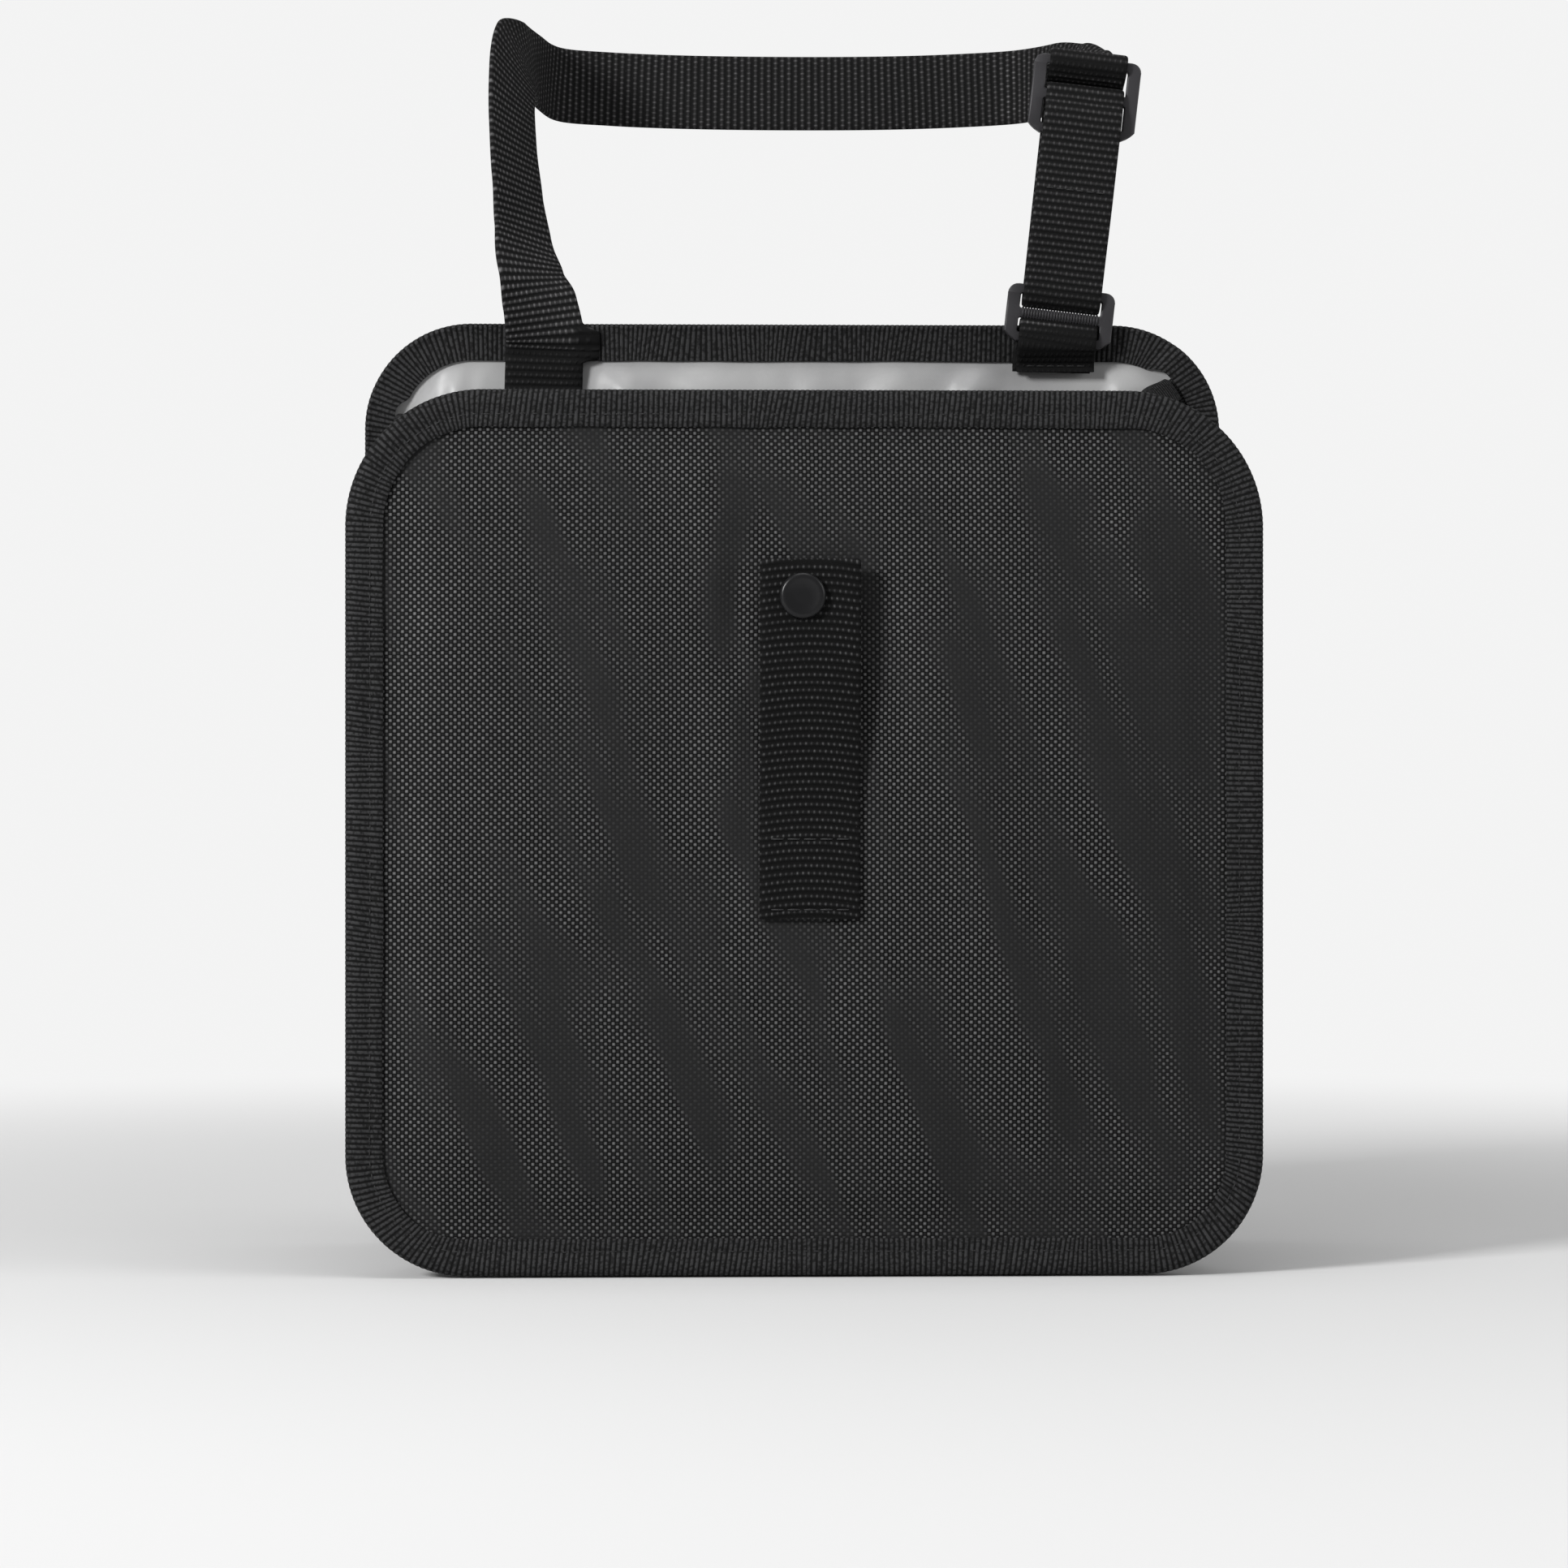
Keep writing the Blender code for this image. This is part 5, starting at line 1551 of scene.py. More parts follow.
@dataclass
class Webbing:
    """Flat woven webbing along a route, with its weft rows in relief."""

    width: float
    thickness: float = BAG.web_thickness
    row_height: float = 0.00012
    bow: float = 0.0
    samples: int = 4
    flat_points: int = 13

    def centre_line(self, stops: Sequence[Stop]) -> list[Stop]:
        """Return the route in even steps of a quarter of a row.

        Args:
            stops: Points of the route and the way the width points at each.

        Returns:
            The same for each step.
        """
        points = [stop[0] for stop in stops]
        sides = [stop[1].normalized() for stop in stops]
        points = [2 * points[0] - points[1], *points, 2 * points[-1] - points[-2]]
        dense: list[Stop] = []
        for i in range(len(sides) - 1):
            for k in range(12):
                side = sides[i].lerp(sides[i + 1], eased(k / 12))
                dense.append((curve_point(*points[i:i + 4], k / 12), side))
        dense.append((points[-2], sides[-1]))
        walked = walked_along([stop[0] for stop in dense])
        count = round(walked[-1] / BAG.web_row) * self.samples
        line: list[Stop] = []
        j = 0
        for k in range(count + 1):
            target = walked[-1] * k / count
            while j < len(walked) - 2 and walked[j + 1] < target:
                j += 1
            share = min(max((target - walked[j]) / max(walked[j + 1] - walked[j], HAIR), 0.0), 1.0)
            line.append((dense[j][0].lerp(dense[j + 1][0], share), dense[j][1].lerp(dense[j + 1][1], share)))
        return line

    def ribbon(
        self, name: str, stops: Sequence[Stop], tone_and_painted_light: Callable[[Vector], float],
        flare: Callable[[Vector], Vector] | None = None,
    ) -> tuple[Piece, float]:
        """Build the webbing along its route.

        Args:
            name: Name of the new object.
            stops: Points of the route and the way the width points at each.
            tone_and_painted_light: How bright the floats are painted at a point, from 0 to 1: an even tone, or
                painted light and shade.
            flare: How far a ring's right edge is folded out.

        Returns:
            The new object and its length.
        """
        line = self.centre_line(stops)
        rings: list[Ring] = []
        half = self.width / 2
        inner = half - self.thickness * 0.55
        thick = self.thickness / 2 - self.row_height * 0.6
        bevel = half - self.thickness * 0.15
        edge = ((bevel, thick * 0.72), (half, thick * 0.25), (half, -thick * 0.25), (bevel, -thick * 0.72))
        across = [mix(-1.0, 1.0, k / (self.flat_points - 1)) for k in range(self.flat_points)]
        for i, (centre, side) in enumerate(line):
            tangent = (line[min(i + 1, len(line) - 1)][0] - line[max(i - 1, 0)][0]).normalized()
            side = (side - tangent * side.dot(tangent)).normalized()
            out = tangent.cross(side).normalized()

            def face(s: float) -> float:
                """Return half of the thickness at a share of the width."""
                phase = i / self.samples + self.bow * (1 - s * s) / BAG.web_row
                return self.thickness / 2 + self.row_height * (abs(math.sin(math.pi * phase)) - 0.6)

            ring = [centre + side * (inner * s) + out * face(s) for s in across]
            ring += [centre + side * wide + out * high for wide, high in edge]
            ring += [centre + side * (inner * s) - out * face(s) for s in reversed(across)]
            ring += [centre - side * wide - out * high for wide, high in edge]
            if flare:
                shift = flare(centre)
                ring = [point + shift * max((point - centre).dot(side) / half, 0.0) ** 5 for point in ring]
            rings.append(ring[-2:] + ring[:-2])
        length = walked_along([stop[0] for stop in line])[-1]
        step = length / (len(line) - 1)
        top = [-half - 0.0006, -half - 0.0003, *(half * s for s in across), half + 0.0003, half + 0.0006]
        spread = top + top[::-1]

        def uv(i: int, k: int) -> Pair:
            """Return the place across the webbing and along its bowed rows."""
            place = spread[k % len(spread)]
            return place, i * step + self.bow * max(1 - (place / half) ** 2, 0.0)

        item = loft(name, rings, uv)
        # Painted light and shade: store each point's float brightness for the webbing's material.
        mark(item, "tone_and_painted_light", [tone_and_painted_light(point) for ring in rings for point in ring])
        return item, length


@dataclass
class Loop:
    """Hanging strap, ring tab and their two buckles, in the leaning plane.

    Rises are counted up that plane from the ring's middle. The depths on the
    lining, on the binding and of the buckles are those of a piece's middle.
    """

    anchor_depth: float = 0.052
    anchor_height: float = 0.017
    tab_depth: float = 0.0153
    slider_height: float = 0.0253
    ring_height: float = 0.0185
    buckle_width: float = 0.0345
    buckle_thickness: float = 0.003
    bar: float = 0.0030
    grip_radius: float = 0.0021
    slot_width: float = 0.0263
    corner: float = 0.0042
    clearance: float = 0.0008
    ring_sag: float = 0.0019
    lean: float = math.radians(6.5)
    ring_rise: float = 0.0022
    slider_rise: float = 0.0710
    end_rise: float = 0.0375
    tab_rise: float = 0.0056
    top: float = 0.2365
    loop_depth: float = 0.086
    loop_half: float = 0.084
    sew_margin: float = 0.0028
    tab_sew_rise: float = 0.0018
    thread: float = 0.0006
    thread_lift: float = 0.0002
    stitch_pitch: float = 0.0032
    wrap_radius: float = buckle_thickness / 2 + clearance + BAG.web_thickness / 2
    layer: float = BAG.web_thickness + BAG.gap
    on_lining: float = -BAG.top_depth - BAG.gap - BAG.web_thickness / 2
    on_binding: float = on_lining - BAG.gap - BAG.tape
    buckle_y: float = on_binding - wrap_radius
    webbing: Webbing = field(default_factory=lambda: Webbing(BAG.web_width))

    @property
    def lean_up(self) -> Vector:
        """Way up in the leaning plane."""
        return Vector((math.sin(self.lean), 0, math.cos(self.lean)))

    @property
    def lean_side(self) -> Vector:
        """Way across in the leaning plane."""
        return Vector((math.cos(self.lean), 0, -math.sin(self.lean)))

    def leaning(self, rise: float, depth: float) -> Vector:
        """Return a point of the leaning plane, by its rise and its depth behind the buckles."""
        base = Vector((BAG.tab_x + 0.0012, self.buckle_y + depth, BAG.back_top + self.ring_rise))
        return base + self.lean_up * rise

    def run(self, *spots: Pair) -> list[Vector]:
        """Return points of the leaning plane, each by its rise and depth."""
        return [self.leaning(*spot) for spot in spots]

    def wrap(self, rise: float, start: float, end: float, steps: int, sag: float = 0.0) -> list[Vector]:
        """Return points of the webbing's middle round a bar.

        Args:
            rise: The bar's rise.
            start: First angle in degrees, from the rear over the top.
            end: Last angle.
            steps: Number of steps.
            sag: How much looser the turn is up or down.

        Returns:
            The points.
        """
        turns = [math.radians(mix(start, end, k / steps)) for k in range(steps + 1)]
        high = self.wrap_radius + sag
        return self.run(*((rise + high * math.sin(turn), self.wrap_radius * math.cos(turn)) for turn in turns))

    def left_part(self) -> list[Stop]:
        """Return the stops of the left side, which twists as it rises."""
        x, on, over, top = BAG.left_strap_x, self.on_lining, self.on_binding, BAG.back_top
        right, down = Vector((1, 0, 0)), Vector((0, 0, -1))

        def turned(angle: float) -> Vector:
            """Return the way across after a turn in degrees."""
            return Vector((math.cos(math.radians(angle)), math.sin(math.radians(angle)), 0.0))

        places = [
            ((x, on, top - self.anchor_depth), right),
            ((x, on, top - 0.024), right),
            ((x + 0.0003, over - 0.0002, top - 0.013), right),
            ((x + 0.0005, over - 0.0003, top - 0.0085), right),
            ((x + 0.0006, over - 0.0019, top - 0.0045), turned(5)),
            ((x - 0.0010, over - 0.0022, top + 0.006), turned(17)),
            ((x - 0.0040, over + 0.0002, top + 0.017), turned(35)),
            ((x - 0.0066, 0.0030, top + 0.030), turned(48)),
            ((x - 0.0086, 0.0080, top + 0.046), turned(54)),
            ((x - 0.0102, 0.0145, top + 0.064), (0.55, 0.80, -0.12)),
            ((x - 0.0106, 0.0225, top + 0.080), (0.55, 0.72, -0.40)),
            ((x - 0.0096, 0.0350, self.top + 0.0030), (0.50, 0.45, -0.80)),
            ((-self.loop_half - 0.0020, 0.0510, self.top + 0.0040), (0.20, 0.10, -1)),
            ((-self.loop_half + 0.0010, 0.0670, self.top + 0.0020), down),
        ]
        return [(Vector(point), Vector(side)) for point, side in places]

    def rear_part(self) -> list[Stop]:
        """Return the stops behind the posts."""
        half, deep, top = self.loop_half, self.loop_depth, self.top
        down = Vector((0, 0, -1))
        places = [
            ((-half + 0.0075, deep - 0.0060, top), down),
            ((-half + 0.0240, deep, top - 0.0006), down),
            ((-half / 3, deep + 0.0006, top - 0.0016), down),
            ((half / 3, deep + 0.0006, top - 0.0016), down),
            ((half - 0.0240, deep, top - 0.0006), down),
            ((half - 0.0040, deep - 0.0060, top), down),
            ((half + 0.0045, 0.0650, top), (-0.15, 0, -1)),
        ]
        return [(Vector(point), Vector(side)) for point, side in places]

    def right_part(self) -> list[Stop]:
        """Return the stops that come forward and run through both buckles."""
        flat = -self.lean_side
        slider_bar, ring_bar = (self.slider_height - self.bar) / 2, (self.ring_height - self.bar) / 2
        rise, radius, end = self.slider_rise, self.wrap_radius, self.end_rise
        over, front, back = self.leaning(rise + slider_bar, 0.0), -radius - self.layer, radius + self.layer
        low_bar = rise - slider_bar
        places = [
            (Vector((over.x - 0.0022, 0.0460, self.top - 0.0010)), Vector((-0.55, 0.05, -0.85))),
            (Vector((over.x - 0.0012, 0.0290, self.top - 0.0008)), Vector((-0.9, 0, -0.4))),
            (Vector((over.x - 0.0004, 0.0130, over.z + radius + 0.0006)), flat),
        ]
        buckled = self.wrap(rise + slider_bar, 90, 215, 5)
        buckled += self.run(
            (rise + 0.0070, 0.0002), (rise + 0.0044, back - 0.0006), (rise - 0.0020, back + 0.0001),
            (rise - 0.0140, back), (rise / 2, radius + 0.0010), (ring_bar + 0.012, radius + 0.0001),
            (ring_bar + 0.003, radius),
        )
        buckled += self.wrap(ring_bar, 0, -180, 6, self.ring_sag)
        buckled += self.run(
            (ring_bar + 0.003, -radius), (ring_bar + 0.012, -radius - 0.0003), (end - 0.005, front + 0.0002),
            (end + 0.006, front), (low_bar - 0.004, front), (low_bar + 0.0030, front),
            (rise - 0.0048, front + 0.0005), (rise - 0.0018, -radius - 0.0002),
        )
        buckled += self.wrap(rise, 160, 0, 6)
        buckled += self.run(
            (rise - 0.0022, radius - 0.0004), (rise - 0.0052, 0.0006), (low_bar + 0.0028, -radius + 0.0003),
            (low_bar - 0.0010, -radius), (low_bar - 0.0080, -radius), (end, -radius),
        )
        return places + [(point, flat) for point in buckled]

    def tab_route(self) -> list[Stop]:
        """Return the stops of the short tab that holds the ring."""
        right = Vector((1, 0, 0))
        low = BAG.back_top - self.tab_depth
        bar = self.leaning(-(self.ring_height - self.bar) / 2, 0)
        stops = [
            (Vector((BAG.tab_x - 0.0012, self.on_binding, low)), right),
            (Vector((BAG.tab_x - 0.0010, self.on_binding, bar.z - 0.0045)), right),
        ]
        for k in range(9):
            angle = math.pi * k / 8
            point = bar + self.lean_up * (self.tab_rise * math.sin(angle))
            point.y += self.wrap_radius * math.cos(angle)
            stops.append((point, self.lean_side))
        front = self.on_binding - self.layer
        stops += [
            (Vector((BAG.tab_x, self.buckle_y - self.wrap_radius + 0.0002, bar.z - 0.0025)), right),
            (Vector((BAG.tab_x, front - 0.0016, low + 0.0044)), right),
            (Vector((BAG.tab_x, front, low + 0.0023)), right),
            (Vector((BAG.tab_x, front, low)), right),
        ]
        return stops

    def ear(self, centre: Vector) -> Vector:
        """Return how far the strap's right edge folds out where it leaves the bag.

        Args:
            centre: Middle of the strap at a step of its route.

        Returns:
            The shift of its right edge.
        """
        if centre.x > 0 or centre.y > 0.004:
            return Vector((0, 0, 0))
        rise = centre.z - BAG.back_top
        size = eased((rise + 0.0122) / 0.0016) * (1 - eased((rise + 0.0044) / 0.0030))
        return Vector((0.0050, 0.0004, 0.0)) * size

    def strap_painted_light(self, point: Vector) -> float:
        """Return how bright the strap's floats are painted: painted light and shade near the bag, an even tone
        where it runs back over the top.
        """
        return mix(self.side_painted_light(point), 0.85, eased((point.y - 0.005) / 0.035))

    def side_painted_light(self, point: Vector) -> float:
        """Return the painted light and shade on the floats of the strap's left or right side.

        Args:
            point: A point of the strap.

        Returns:
            The brightness: painted light on the left strap's upper face, which the key lamp hardly reaches; painted
                shade on its foot, in its folded ear, along its crease, where it wraps the slider's top bar and near
                the ring; a dimmer tone on the right side.
        """
        if point.x < 0:
            # Painted light: the left strap's upper part is painted much brighter than the key lamp leaves it.
            # Painted shade darkens its foot under the bend, the fold of its ear and the line of its crease.
            foot = eased((BAG.back_top - 0.0065 - point.z) / 0.003)
            folded = eased((point.x - BAG.left_strap_x - BAG.web_width / 2 + 0.0046) / 0.0030)
            crease = math.exp(-((point.z - BAG.back_top + 0.0092) / 0.0012) ** 2)
            fold_and_crease_shade = max(folded if point.z < BAG.back_top - 0.0015 else 0.0, crease)
            return mix(1.65, 0.24, foot) * mix(1.0, 0.05, fold_and_crease_shade)
        rise = (point - self.leaning(0, 0)).dot(self.lean_up)
        over_bar = self.slider_rise + (self.slider_height - self.bar) / 2
        # Painted shade where the strap wraps over the slider's top bar, and painted shade lower down near the ring.
        dull = eased((over_bar + 0.0022 - rise) / 0.002) * eased((rise - over_bar + 0.0052) / 0.002)
        near_ring = eased((0.0125 - rise) / 0.008)
        return 0.60 * mix(1.0, 0.20, dull) * mix(1.0, 0.55, near_ring)

    def tab_painted_shade(self, point: Vector) -> float:
        """Return how bright the tab's floats are painted: painted shade on the tab below the ring."""
        return mix(0.04, 1.0, eased((point.z - BAG.back_top + 0.0030) / 0.003))

    def build(self) -> None:
        stops = self.left_part() + self.rear_part() + self.right_part()
        strap, length = self.webbing.ribbon("hanging_strap_webbing", stops, self.strap_painted_light, self.ear)
        install(strap, Finish.WEBBING, ["hanging_strap"])
        tab, length = self.webbing.ribbon("ring_tab_webbing", self.tab_route(), self.tab_painted_shade)
        install(tab, Finish.WEBBING, ["ring_tab"])
        for name, node, height, rise in (
            ("slider_frame", "strap_slider", self.slider_height, self.slider_rise),
            ("ring_frame", "strap_ring", self.ring_height, 0.0),
        ):
            Buckle(name, node, height, self.leaning(rise, 0), self).build()
        half = BAG.web_width / 2 - self.sew_margin
        face = self.on_lining - BAG.web_thickness / 2 - self.thread_lift
        low = BAG.back_top - self.anchor_depth + self.sew_margin
        high = low + self.anchor_height
        left, right = BAG.left_strap_x - half, BAG.left_strap_x + half
        box = ((left, low), (right, low), (right, high), (left, high), (left, low))
        corners = [Vector((x, face, z)) for x, z in box]
        sew("anchor_stitches", "anchor_stitch", corners, self.stitch_pitch, self.thread, 0.00045)
        front = self.on_binding - self.layer - BAG.web_thickness / 2
        row = Vector((BAG.tab_x, front, BAG.back_top - self.tab_depth + self.tab_sew_rise))
        ends = [row + Vector((x, 0, 0)) for x in (-half, half)]
        sew("tab_stitches", "tab_stitch", ends, self.stitch_pitch, self.thread * 0.8, 0.00015)
        outer = -self.wrap_radius - self.layer - BAG.web_thickness / 2 - self.thread_lift
        seam = self.leaning(self.end_rise + self.sew_margin, outer)
        ends = [seam - self.lean_side * half, seam + self.lean_side * half]
        sew("slider_stitches", "slider_stitch", ends, self.stitch_pitch, self.thread, 0.0004)


# Buckles


def deselect() -> None:
    """Leave edit mode and deselect everything."""
    if bpy.context.object and bpy.context.object.mode != "OBJECT":
        bpy.ops.object.mode_set(mode="OBJECT")
    bpy.ops.object.select_all(action="DESELECT")


def name_active(name: str) -> Piece:
    """Name the object that an operator has just added, and return it."""
    bpy.context.object.name = bpy.context.object.data.name = name
    return bpy.context.object


def select_where(item: Piece, kind: str, test: Callable[[object], bool]) -> None:
    """Select the vertices, edges or faces of the edited mesh that pass a test.

    Args:
        item: The object in edit mode.
        kind: verts, edges or faces.
        test: Returns whether an element is wanted.
    """
    work = bmesh.from_edit_mesh(item.data)
    for group in (work.verts, work.edges, work.faces):
        for element in group:
            element.select = False
    for element in [one for one in getattr(work, kind) if test(one)]:
        element.select_set(True)
    bmesh.update_edit_mesh(item.data)


def apply_modifiers(item: Piece) -> None:
    """Apply every modifier of an object, in order."""
    deselect()
    item.select_set(True)
    bpy.context.view_layer.objects.active = item
    for modifier in list(item.modifiers):
        bpy.ops.object.modifier_apply(modifier=modifier.name)
    deselect()


def settle(item: Piece) -> None:
    """Move an object's place and turn into its mesh."""
    item.data.transform(item.matrix_basis)
    item.matrix_basis.identity()


@dataclass
class Buckle:
    """Three-bar buckle with a knurled middle bar."""

    name: str
    node: str
    height: float
    centre: Vector
    loop: Loop

    def plate(self) -> Piece:
        """Return the moulded frame with its two slots, flat on the XZ plane."""
        deselect()
        bpy.ops.mesh.primitive_grid_add(x_subdivisions=3, y_subdivisions=5, size=2.0, rotation=(math.pi / 2, 0, 0))
        item = name_active(self.name)
        settle(item)
        half_w, half_h = self.loop.buckle_width / 2, self.height / 2
        slot, bar = self.loop.slot_width / 2, self.loop.bar
        columns = [-half_w, -slot, slot, half_w]
        rows = [-half_h, -half_h + bar, -bar / 2, bar / 2, half_h - bar, half_h]
        for vert in item.data.vertices:
            i = round((vert.co.x + 1) * 1.5)
            j = round((vert.co.z + 1) * 2.5)
            vert.co.x, vert.co.z = columns[i], rows[j]
        bpy.ops.object.mode_set(mode="EDIT")

        def in_slot(face: bmesh.types.BMFace) -> bool:
            """Return whether a face fills a slot."""
            middle = face.calc_center_median()
            return abs(middle.x) < slot and bar / 2 < abs(middle.z) < half_h - bar

        select_where(item, "faces", in_slot)
        bpy.ops.mesh.delete(type="FACE")
        bpy.ops.mesh.select_all(action="SELECT")
        thick = self.loop.buckle_thickness
        bpy.ops.transform.translate(value=(0, -thick / 2, 0))
        bpy.ops.mesh.extrude_region_move(TRANSFORM_OT_translate={"value": (0, thick, 0)})
        bpy.ops.mesh.select_all(action="SELECT")
        bpy.ops.mesh.normals_make_consistent(inside=False)

        def corner(lower: bool) -> Callable[[bmesh.types.BMEdge], bool]:
            """Return a test for the frame's lower or upper corners."""
            def test(edge: bmesh.types.BMEdge) -> bool:
                """Return whether an edge is such a corner."""
                a, b = edge.verts[0].co, edge.verts[1].co
                upright = abs(a.y - b.y) > thick / 2
                at_corner = abs(abs(a.x) - half_w) < 1e-6 and abs(abs(a.z) - half_h) < 1e-6
                return upright and at_corner and (a.z < 0) == lower
            return test

        select_where(item, "edges", corner(True))
        bpy.ops.mesh.bevel(offset=self.loop.corner, segments=3, profile=0.32)
        select_where(item, "edges", corner(False))
        bpy.ops.mesh.bevel(offset=self.loop.corner * 0.75, segments=5)

        def slot_corner(edge: bmesh.types.BMEdge) -> bool:
            """Return whether an edge is a slot's corner."""
            a, b = edge.verts[0].co, edge.verts[1].co
            return abs(a.y - b.y) > thick / 2 and abs(abs(a.x) - slot) < 1e-6 and abs(a.z) < half_h - bar / 2

        select_where(item, "edges", slot_corner)
        bpy.ops.mesh.bevel(offset=0.0007, segments=3)
        bpy.ops.object.mode_set(mode="OBJECT")
        soft = item.modifiers.new("ease", "BEVEL")
        soft.width = 0.0007
        soft.segments = 3
        soft.limit_method = "ANGLE"
        soft.angle_limit = math.radians(50)
        soft.use_clamp_overlap = True
        apply_modifiers(item)
        return item

    def knurl(self) -> Piece:
        """Return the grip ribs that sit on the middle bar."""
        deselect()
        radius = self.loop.grip_radius
        bpy.ops.mesh.primitive_cylinder_add(vertices=20, radius=radius, depth=0.00062, rotation=(0, math.pi / 2, 0))
        item = name_active(self.name + "_ribs")
        settle(item)
        bpy.ops.object.mode_set(mode="EDIT")
        select_where(item, "faces", lambda face: abs(face.normal.x) > 0.9)
        bpy.ops.mesh.bevel(offset=0.00016, segments=2)
        bpy.ops.object.mode_set(mode="OBJECT")
        pitch = 0.00092
        count = int((self.loop.slot_width - 0.0006) / pitch)
        repeat = item.modifiers.new("repeat", "ARRAY")
        repeat.use_relative_offset = False
        repeat.use_constant_offset = True
        repeat.constant_offset_displace = (pitch, 0, 0)
        repeat.count = count
        apply_modifiers(item)
        for vert in item.data.vertices:
            vert.co.x -= pitch * (count - 1) / 2
        return item

    def build(self) -> None:
        """Build both pieces, join them, put them in place and dress them."""
        plate, ribs = self.plate(), self.knurl()
        deselect()
        plate.select_set(True)
        ribs.select_set(True)
        bpy.context.view_layer.objects.active = plate
        bpy.ops.object.join()
        plate.rotation_euler = (0, self.loop.lean, 0)
        plate.location = self.centre
        settle(plate)
        bpy.ops.object.shade_smooth_by_angle(angle=math.radians(40))
        deselect()
        install(plate, Finish.BUCKLE, [self.node])


# Snap strap and snap


@dataclass
class SnapStrap:
    """Folded strap on the front panel with its two sewn rows and its snap."""

    panel: FrontPanel
    hem: float = 0.026
    snap_x: float = -0.0014
    snap_z: float = 0.0554
    cap_radius: float = 0.0069
    cap_height: float = 0.0022
    flange: float = 0.0008
    socket: float = 0.0024
    sew_margin: float = 0.0028
    upper_rise: float = 0.0238
    thread: float = 0.0006
    stitch_pitch: float = 0.0047
    row_bow: float = -0.0011
    layer_at: float = BAG.gap + flange + BAG.gap + socket + BAG.gap + BAG.web_thickness + BAG.gap

    @property
    def panel_y(self) -> float:
        """Depth of the panel's face at the snap."""
        return self.panel.face(self.snap_x, self.snap_z)

    def centre(self, z: float) -> float:
        """Return the depth of the strap's front layer, which lifts off towards the snap.

        Args:
            z: Height.

        Returns:
            The depth of the layer's middle.
        """
        on_panel = self.panel.face(BAG.snap_strap_x, z) - BAG.gap - BAG.web_thickness / 2
        at_snap = self.panel_y - self.layer_at - BAG.web_thickness / 2
        sewn = BAG.snap_strap_bottom + self.upper_rise
        lift = eased((z - sewn - 0.006) / (self.snap_z - sewn - 0.022))
        return mix(on_panel, at_snap, lift)

    def route(self) -> list[Stop]:
        """Return the stops of the strap, up the front and down behind."""
        side = Vector((1, 0, 0))
        step = BAG.web_thickness + BAG.gap
        turn = step / 2
        top = BAG.snap_strap_top - turn - BAG.web_thickness / 2
        stops: list[Stop] = []
        for k in range(19):
            z = mix(BAG.snap_strap_bottom, top - 0.001, k / 18)
            stops.append((Vector((BAG.snap_strap_x, self.centre(z), z)), side))
        centre_y = self.centre(top) + turn
        for k in range(9):
            angle = math.pi * k / 8
            y, z = centre_y - turn * math.cos(angle), top + turn * math.sin(angle)
            stops.append((Vector((BAG.snap_strap_x, y, z)), side))
        for z in (top - 0.004, self.snap_z, top - self.hem):
            stops.append((Vector((BAG.snap_strap_x, self.centre(z) + step, z)), side))
        return stops

    def cap(self) -> Piece:
        """Return the round cap with its eased rim and shallow dish."""
        base = self.panel_y - self.layer_at - BAG.web_thickness - BAG.gap
        deselect()
        bpy.ops.mesh.primitive_cylinder_add(
            vertices=64, radius=self.cap_radius, depth=self.cap_height,
            location=(self.snap_x, base - self.cap_height / 2, self.snap_z), rotation=(math.pi / 2, 0, 0),
        )
        item = name_active("snap_cap_disc")
        settle(item)
        bpy.ops.object.mode_set(mode="EDIT")
        face_y = base - self.cap_height

        select_where(item, "edges", lambda edge: all(abs(vert.co.y - face_y) < 1e-7 for vert in edge.verts))
        bpy.ops.mesh.bevel(offset=0.0013, segments=6)
        select_where(item, "faces", lambda face: len(face.verts) > 10 and face.normal.y < -0.9)
        bpy.ops.mesh.inset(thickness=0.0007)
        bpy.ops.mesh.inset(thickness=0.0006)
        bpy.ops.transform.translate(value=(0, 0.00022, 0))
        bpy.ops.mesh.inset(thickness=0.0024)
        bpy.ops.transform.translate(value=(0, -0.00010, 0))
        bpy.ops.object.mode_set(mode="OBJECT")
        bpy.ops.object.shade_smooth_by_angle(angle=math.radians(50))
        deselect()
        return item

    def build(self) -> None:
        webbing = Webbing(BAG.snap_strap_width, bow=self.row_bow)
        strap, length = webbing.ribbon("snap_strap_webbing", self.route(), lambda _point: 0.72)
        install(strap, Finish.SNAP_WEBBING, ["snap_strap"])
        half = BAG.snap_strap_width / 2 - self.sew_margin
        for level, rise in (("upper", self.upper_rise), ("lower", self.sew_margin)):
            z = BAG.snap_strap_bottom + rise
            y = self.centre(z) - BAG.web_thickness / 2 - 0.0002
            ends = [Vector((x, y, z)) for x in (BAG.snap_strap_x - half, BAG.snap_strap_x + half)]
            name, node = f"snap_strap_{level}_stitches", f"snap_stitch_{level}"
            sew(name, node, ends, self.stitch_pitch, self.thread, 0.00045)
        install(self.cap(), Finish.CAP, ["snap_cap"])
        for node in ("snap_socket", "snap_stud", "snap_post_back"):
            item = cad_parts[node]
            item.data.materials.clear()
            item.data.materials.append(Finish.METAL.material())
            LOG.info("%s: kept, with a plated finish", node)


# Studio


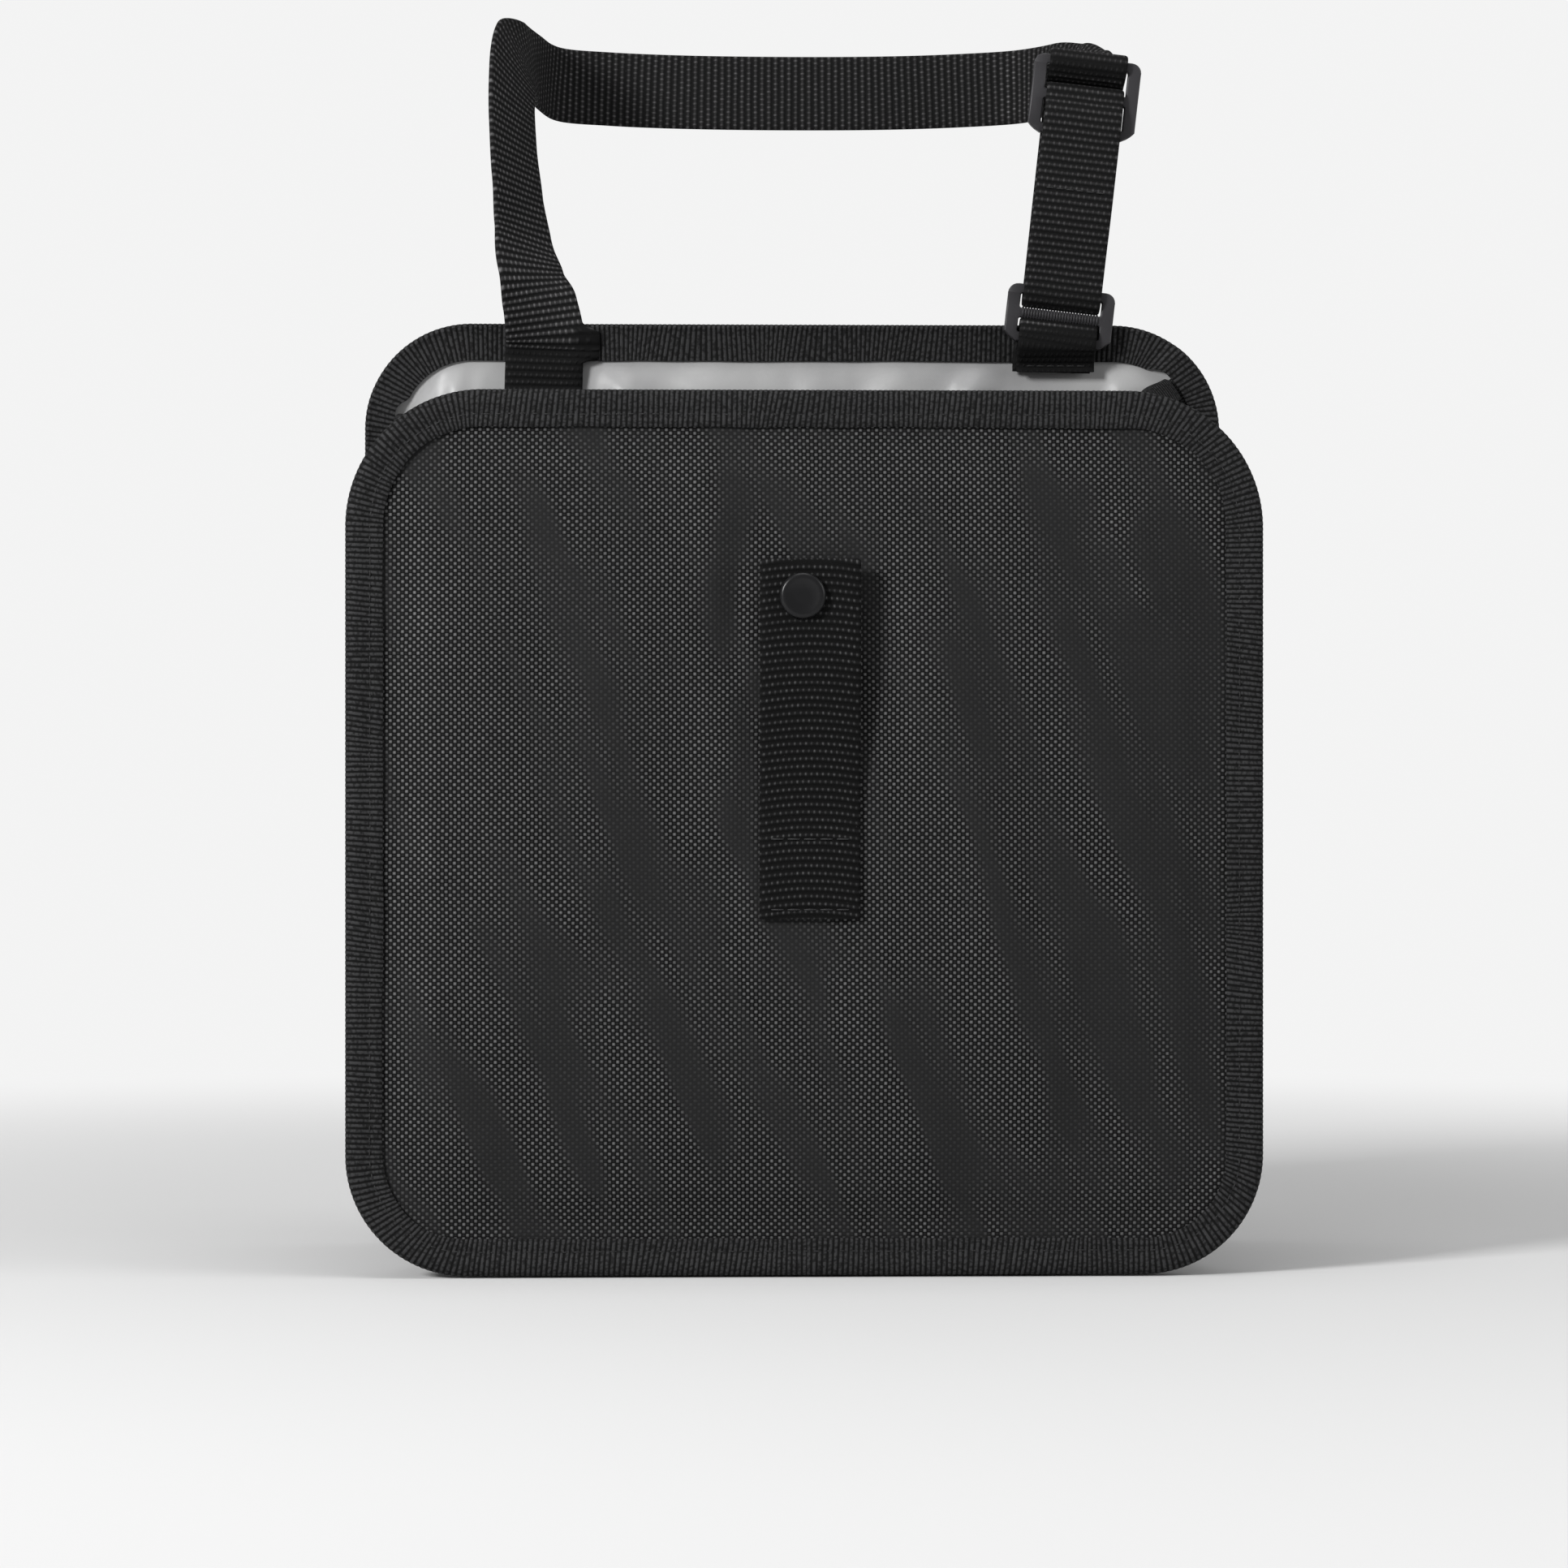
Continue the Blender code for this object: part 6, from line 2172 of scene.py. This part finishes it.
@dataclass
class Studio:
    """Plain pale floor, soft light and the camera of the photograph."""

    floor_z: float = BAG.bottom - 0.0005
    camera_at: Triple = (-0.05256, -1.53165, -0.00041)
    yaw: float = 0.032375
    lens: float = 109.15

    def cove(self) -> None:
        """Bend a grid into the floor and the backdrop behind it."""
        profile = [(-4.0, 0.0), (1.6, 0.0)]
        for k in range(1, 13):
            angle = QUARTER * k / 12
            profile.append((1.6 + 1.2 * math.sin(angle), 1.2 * (1 - math.cos(angle))))
        profile.append((2.8, 5.0))
        deselect()
        rows = len(profile) - 1
        bpy.ops.mesh.primitive_grid_add(x_subdivisions=1, y_subdivisions=rows, size=2.0)
        item = name_active("floor")
        for vert in item.data.vertices:
            y, z = profile[round((vert.co.y + 1) / 2 * rows)]
            vert.co = (vert.co.x * 5.0, y, self.floor_z + z)
        item.data.shade_smooth()
        item.data.materials.append(PaleFloor().material())

    def lamp(self, name: str, place: Triple, size: float, power: float) -> None:
        """Add one soft lamp that faces the bag.

        Args:
            name: Name of the lamp.
            place: Where it stands.
            size: Side of its square face.
            power: Its power in watts.
        """
        data = bpy.data.lights.new(name, "AREA")
        data.shape = "SQUARE"
        data.size = size
        data.energy = power
        item = bpy.data.objects.new(name, data)
        item.location = place
        item.rotation_euler = (Vector((0, -0.05, 0.02)) - Vector(place)).to_track_quat("-Z", "Y").to_euler()
        bpy.context.scene.collection.objects.link(item)

    def sky(self) -> None:
        """Give the world a plain even light."""
        world = bpy.data.worlds.new("studio")
        world.use_nodes = True
        background = world.node_tree.nodes["Background"]
        background.inputs["Color"].default_value = (1.0, 1.0, 1.0, 1.0)
        background.inputs["Strength"].default_value = 0.30
        bpy.context.scene.world = world

    def camera(self) -> None:
        """Set the camera where the photograph was taken from."""
        data = bpy.data.cameras.new("camera")
        data.lens = self.lens
        data.sensor_width = 36.0
        data.clip_start, data.clip_end = 0.05, 50.0
        item = bpy.data.objects.new("camera", data)
        item.location = self.camera_at
        item.rotation_euler = (math.pi / 2, 0, -self.yaw)
        bpy.context.scene.collection.objects.link(item)
        bpy.context.scene.camera = item

    def build(self) -> None:
        """Build the floor, the lamps, the world and the camera."""
        bpy.context.scene.view_settings.view_transform = "Standard"
        self.camera()
        self.cove()
        self.sky()
        self.lamp("key", (-1.5, -1.5, 0.9), 0.5, 54.0)
        self.lamp("fill", (1.7, -0.75, 0.8), 1.2, 14.0)
        self.lamp("top", (0.0, -0.3, 1.9), 1.2, 12.0)


def main() -> None:
    """Build every piece in order and report each one."""
    logging.basicConfig(level=logging.INFO, format="%(name)s %(message)s")
    Studio().build()
    panel = FrontPanel()
    panel.build()
    BackPanel().build()
    Gusset().build()
    ends = (End.LEFT.value, End.RIGHT.value)
    Binding("front_binding", "front_binding", FRONT, BAG.front_y, 1, (ends[0][0], ends[1][0]), 1.5).build()
    Binding("back_binding", "back_binding", BACK, 0.0, -1, (ends[0][1], ends[1][1]), 8.5).build()
    Loop().build()
    SnapStrap(panel).build()


if __name__ == "__main__":
    main()
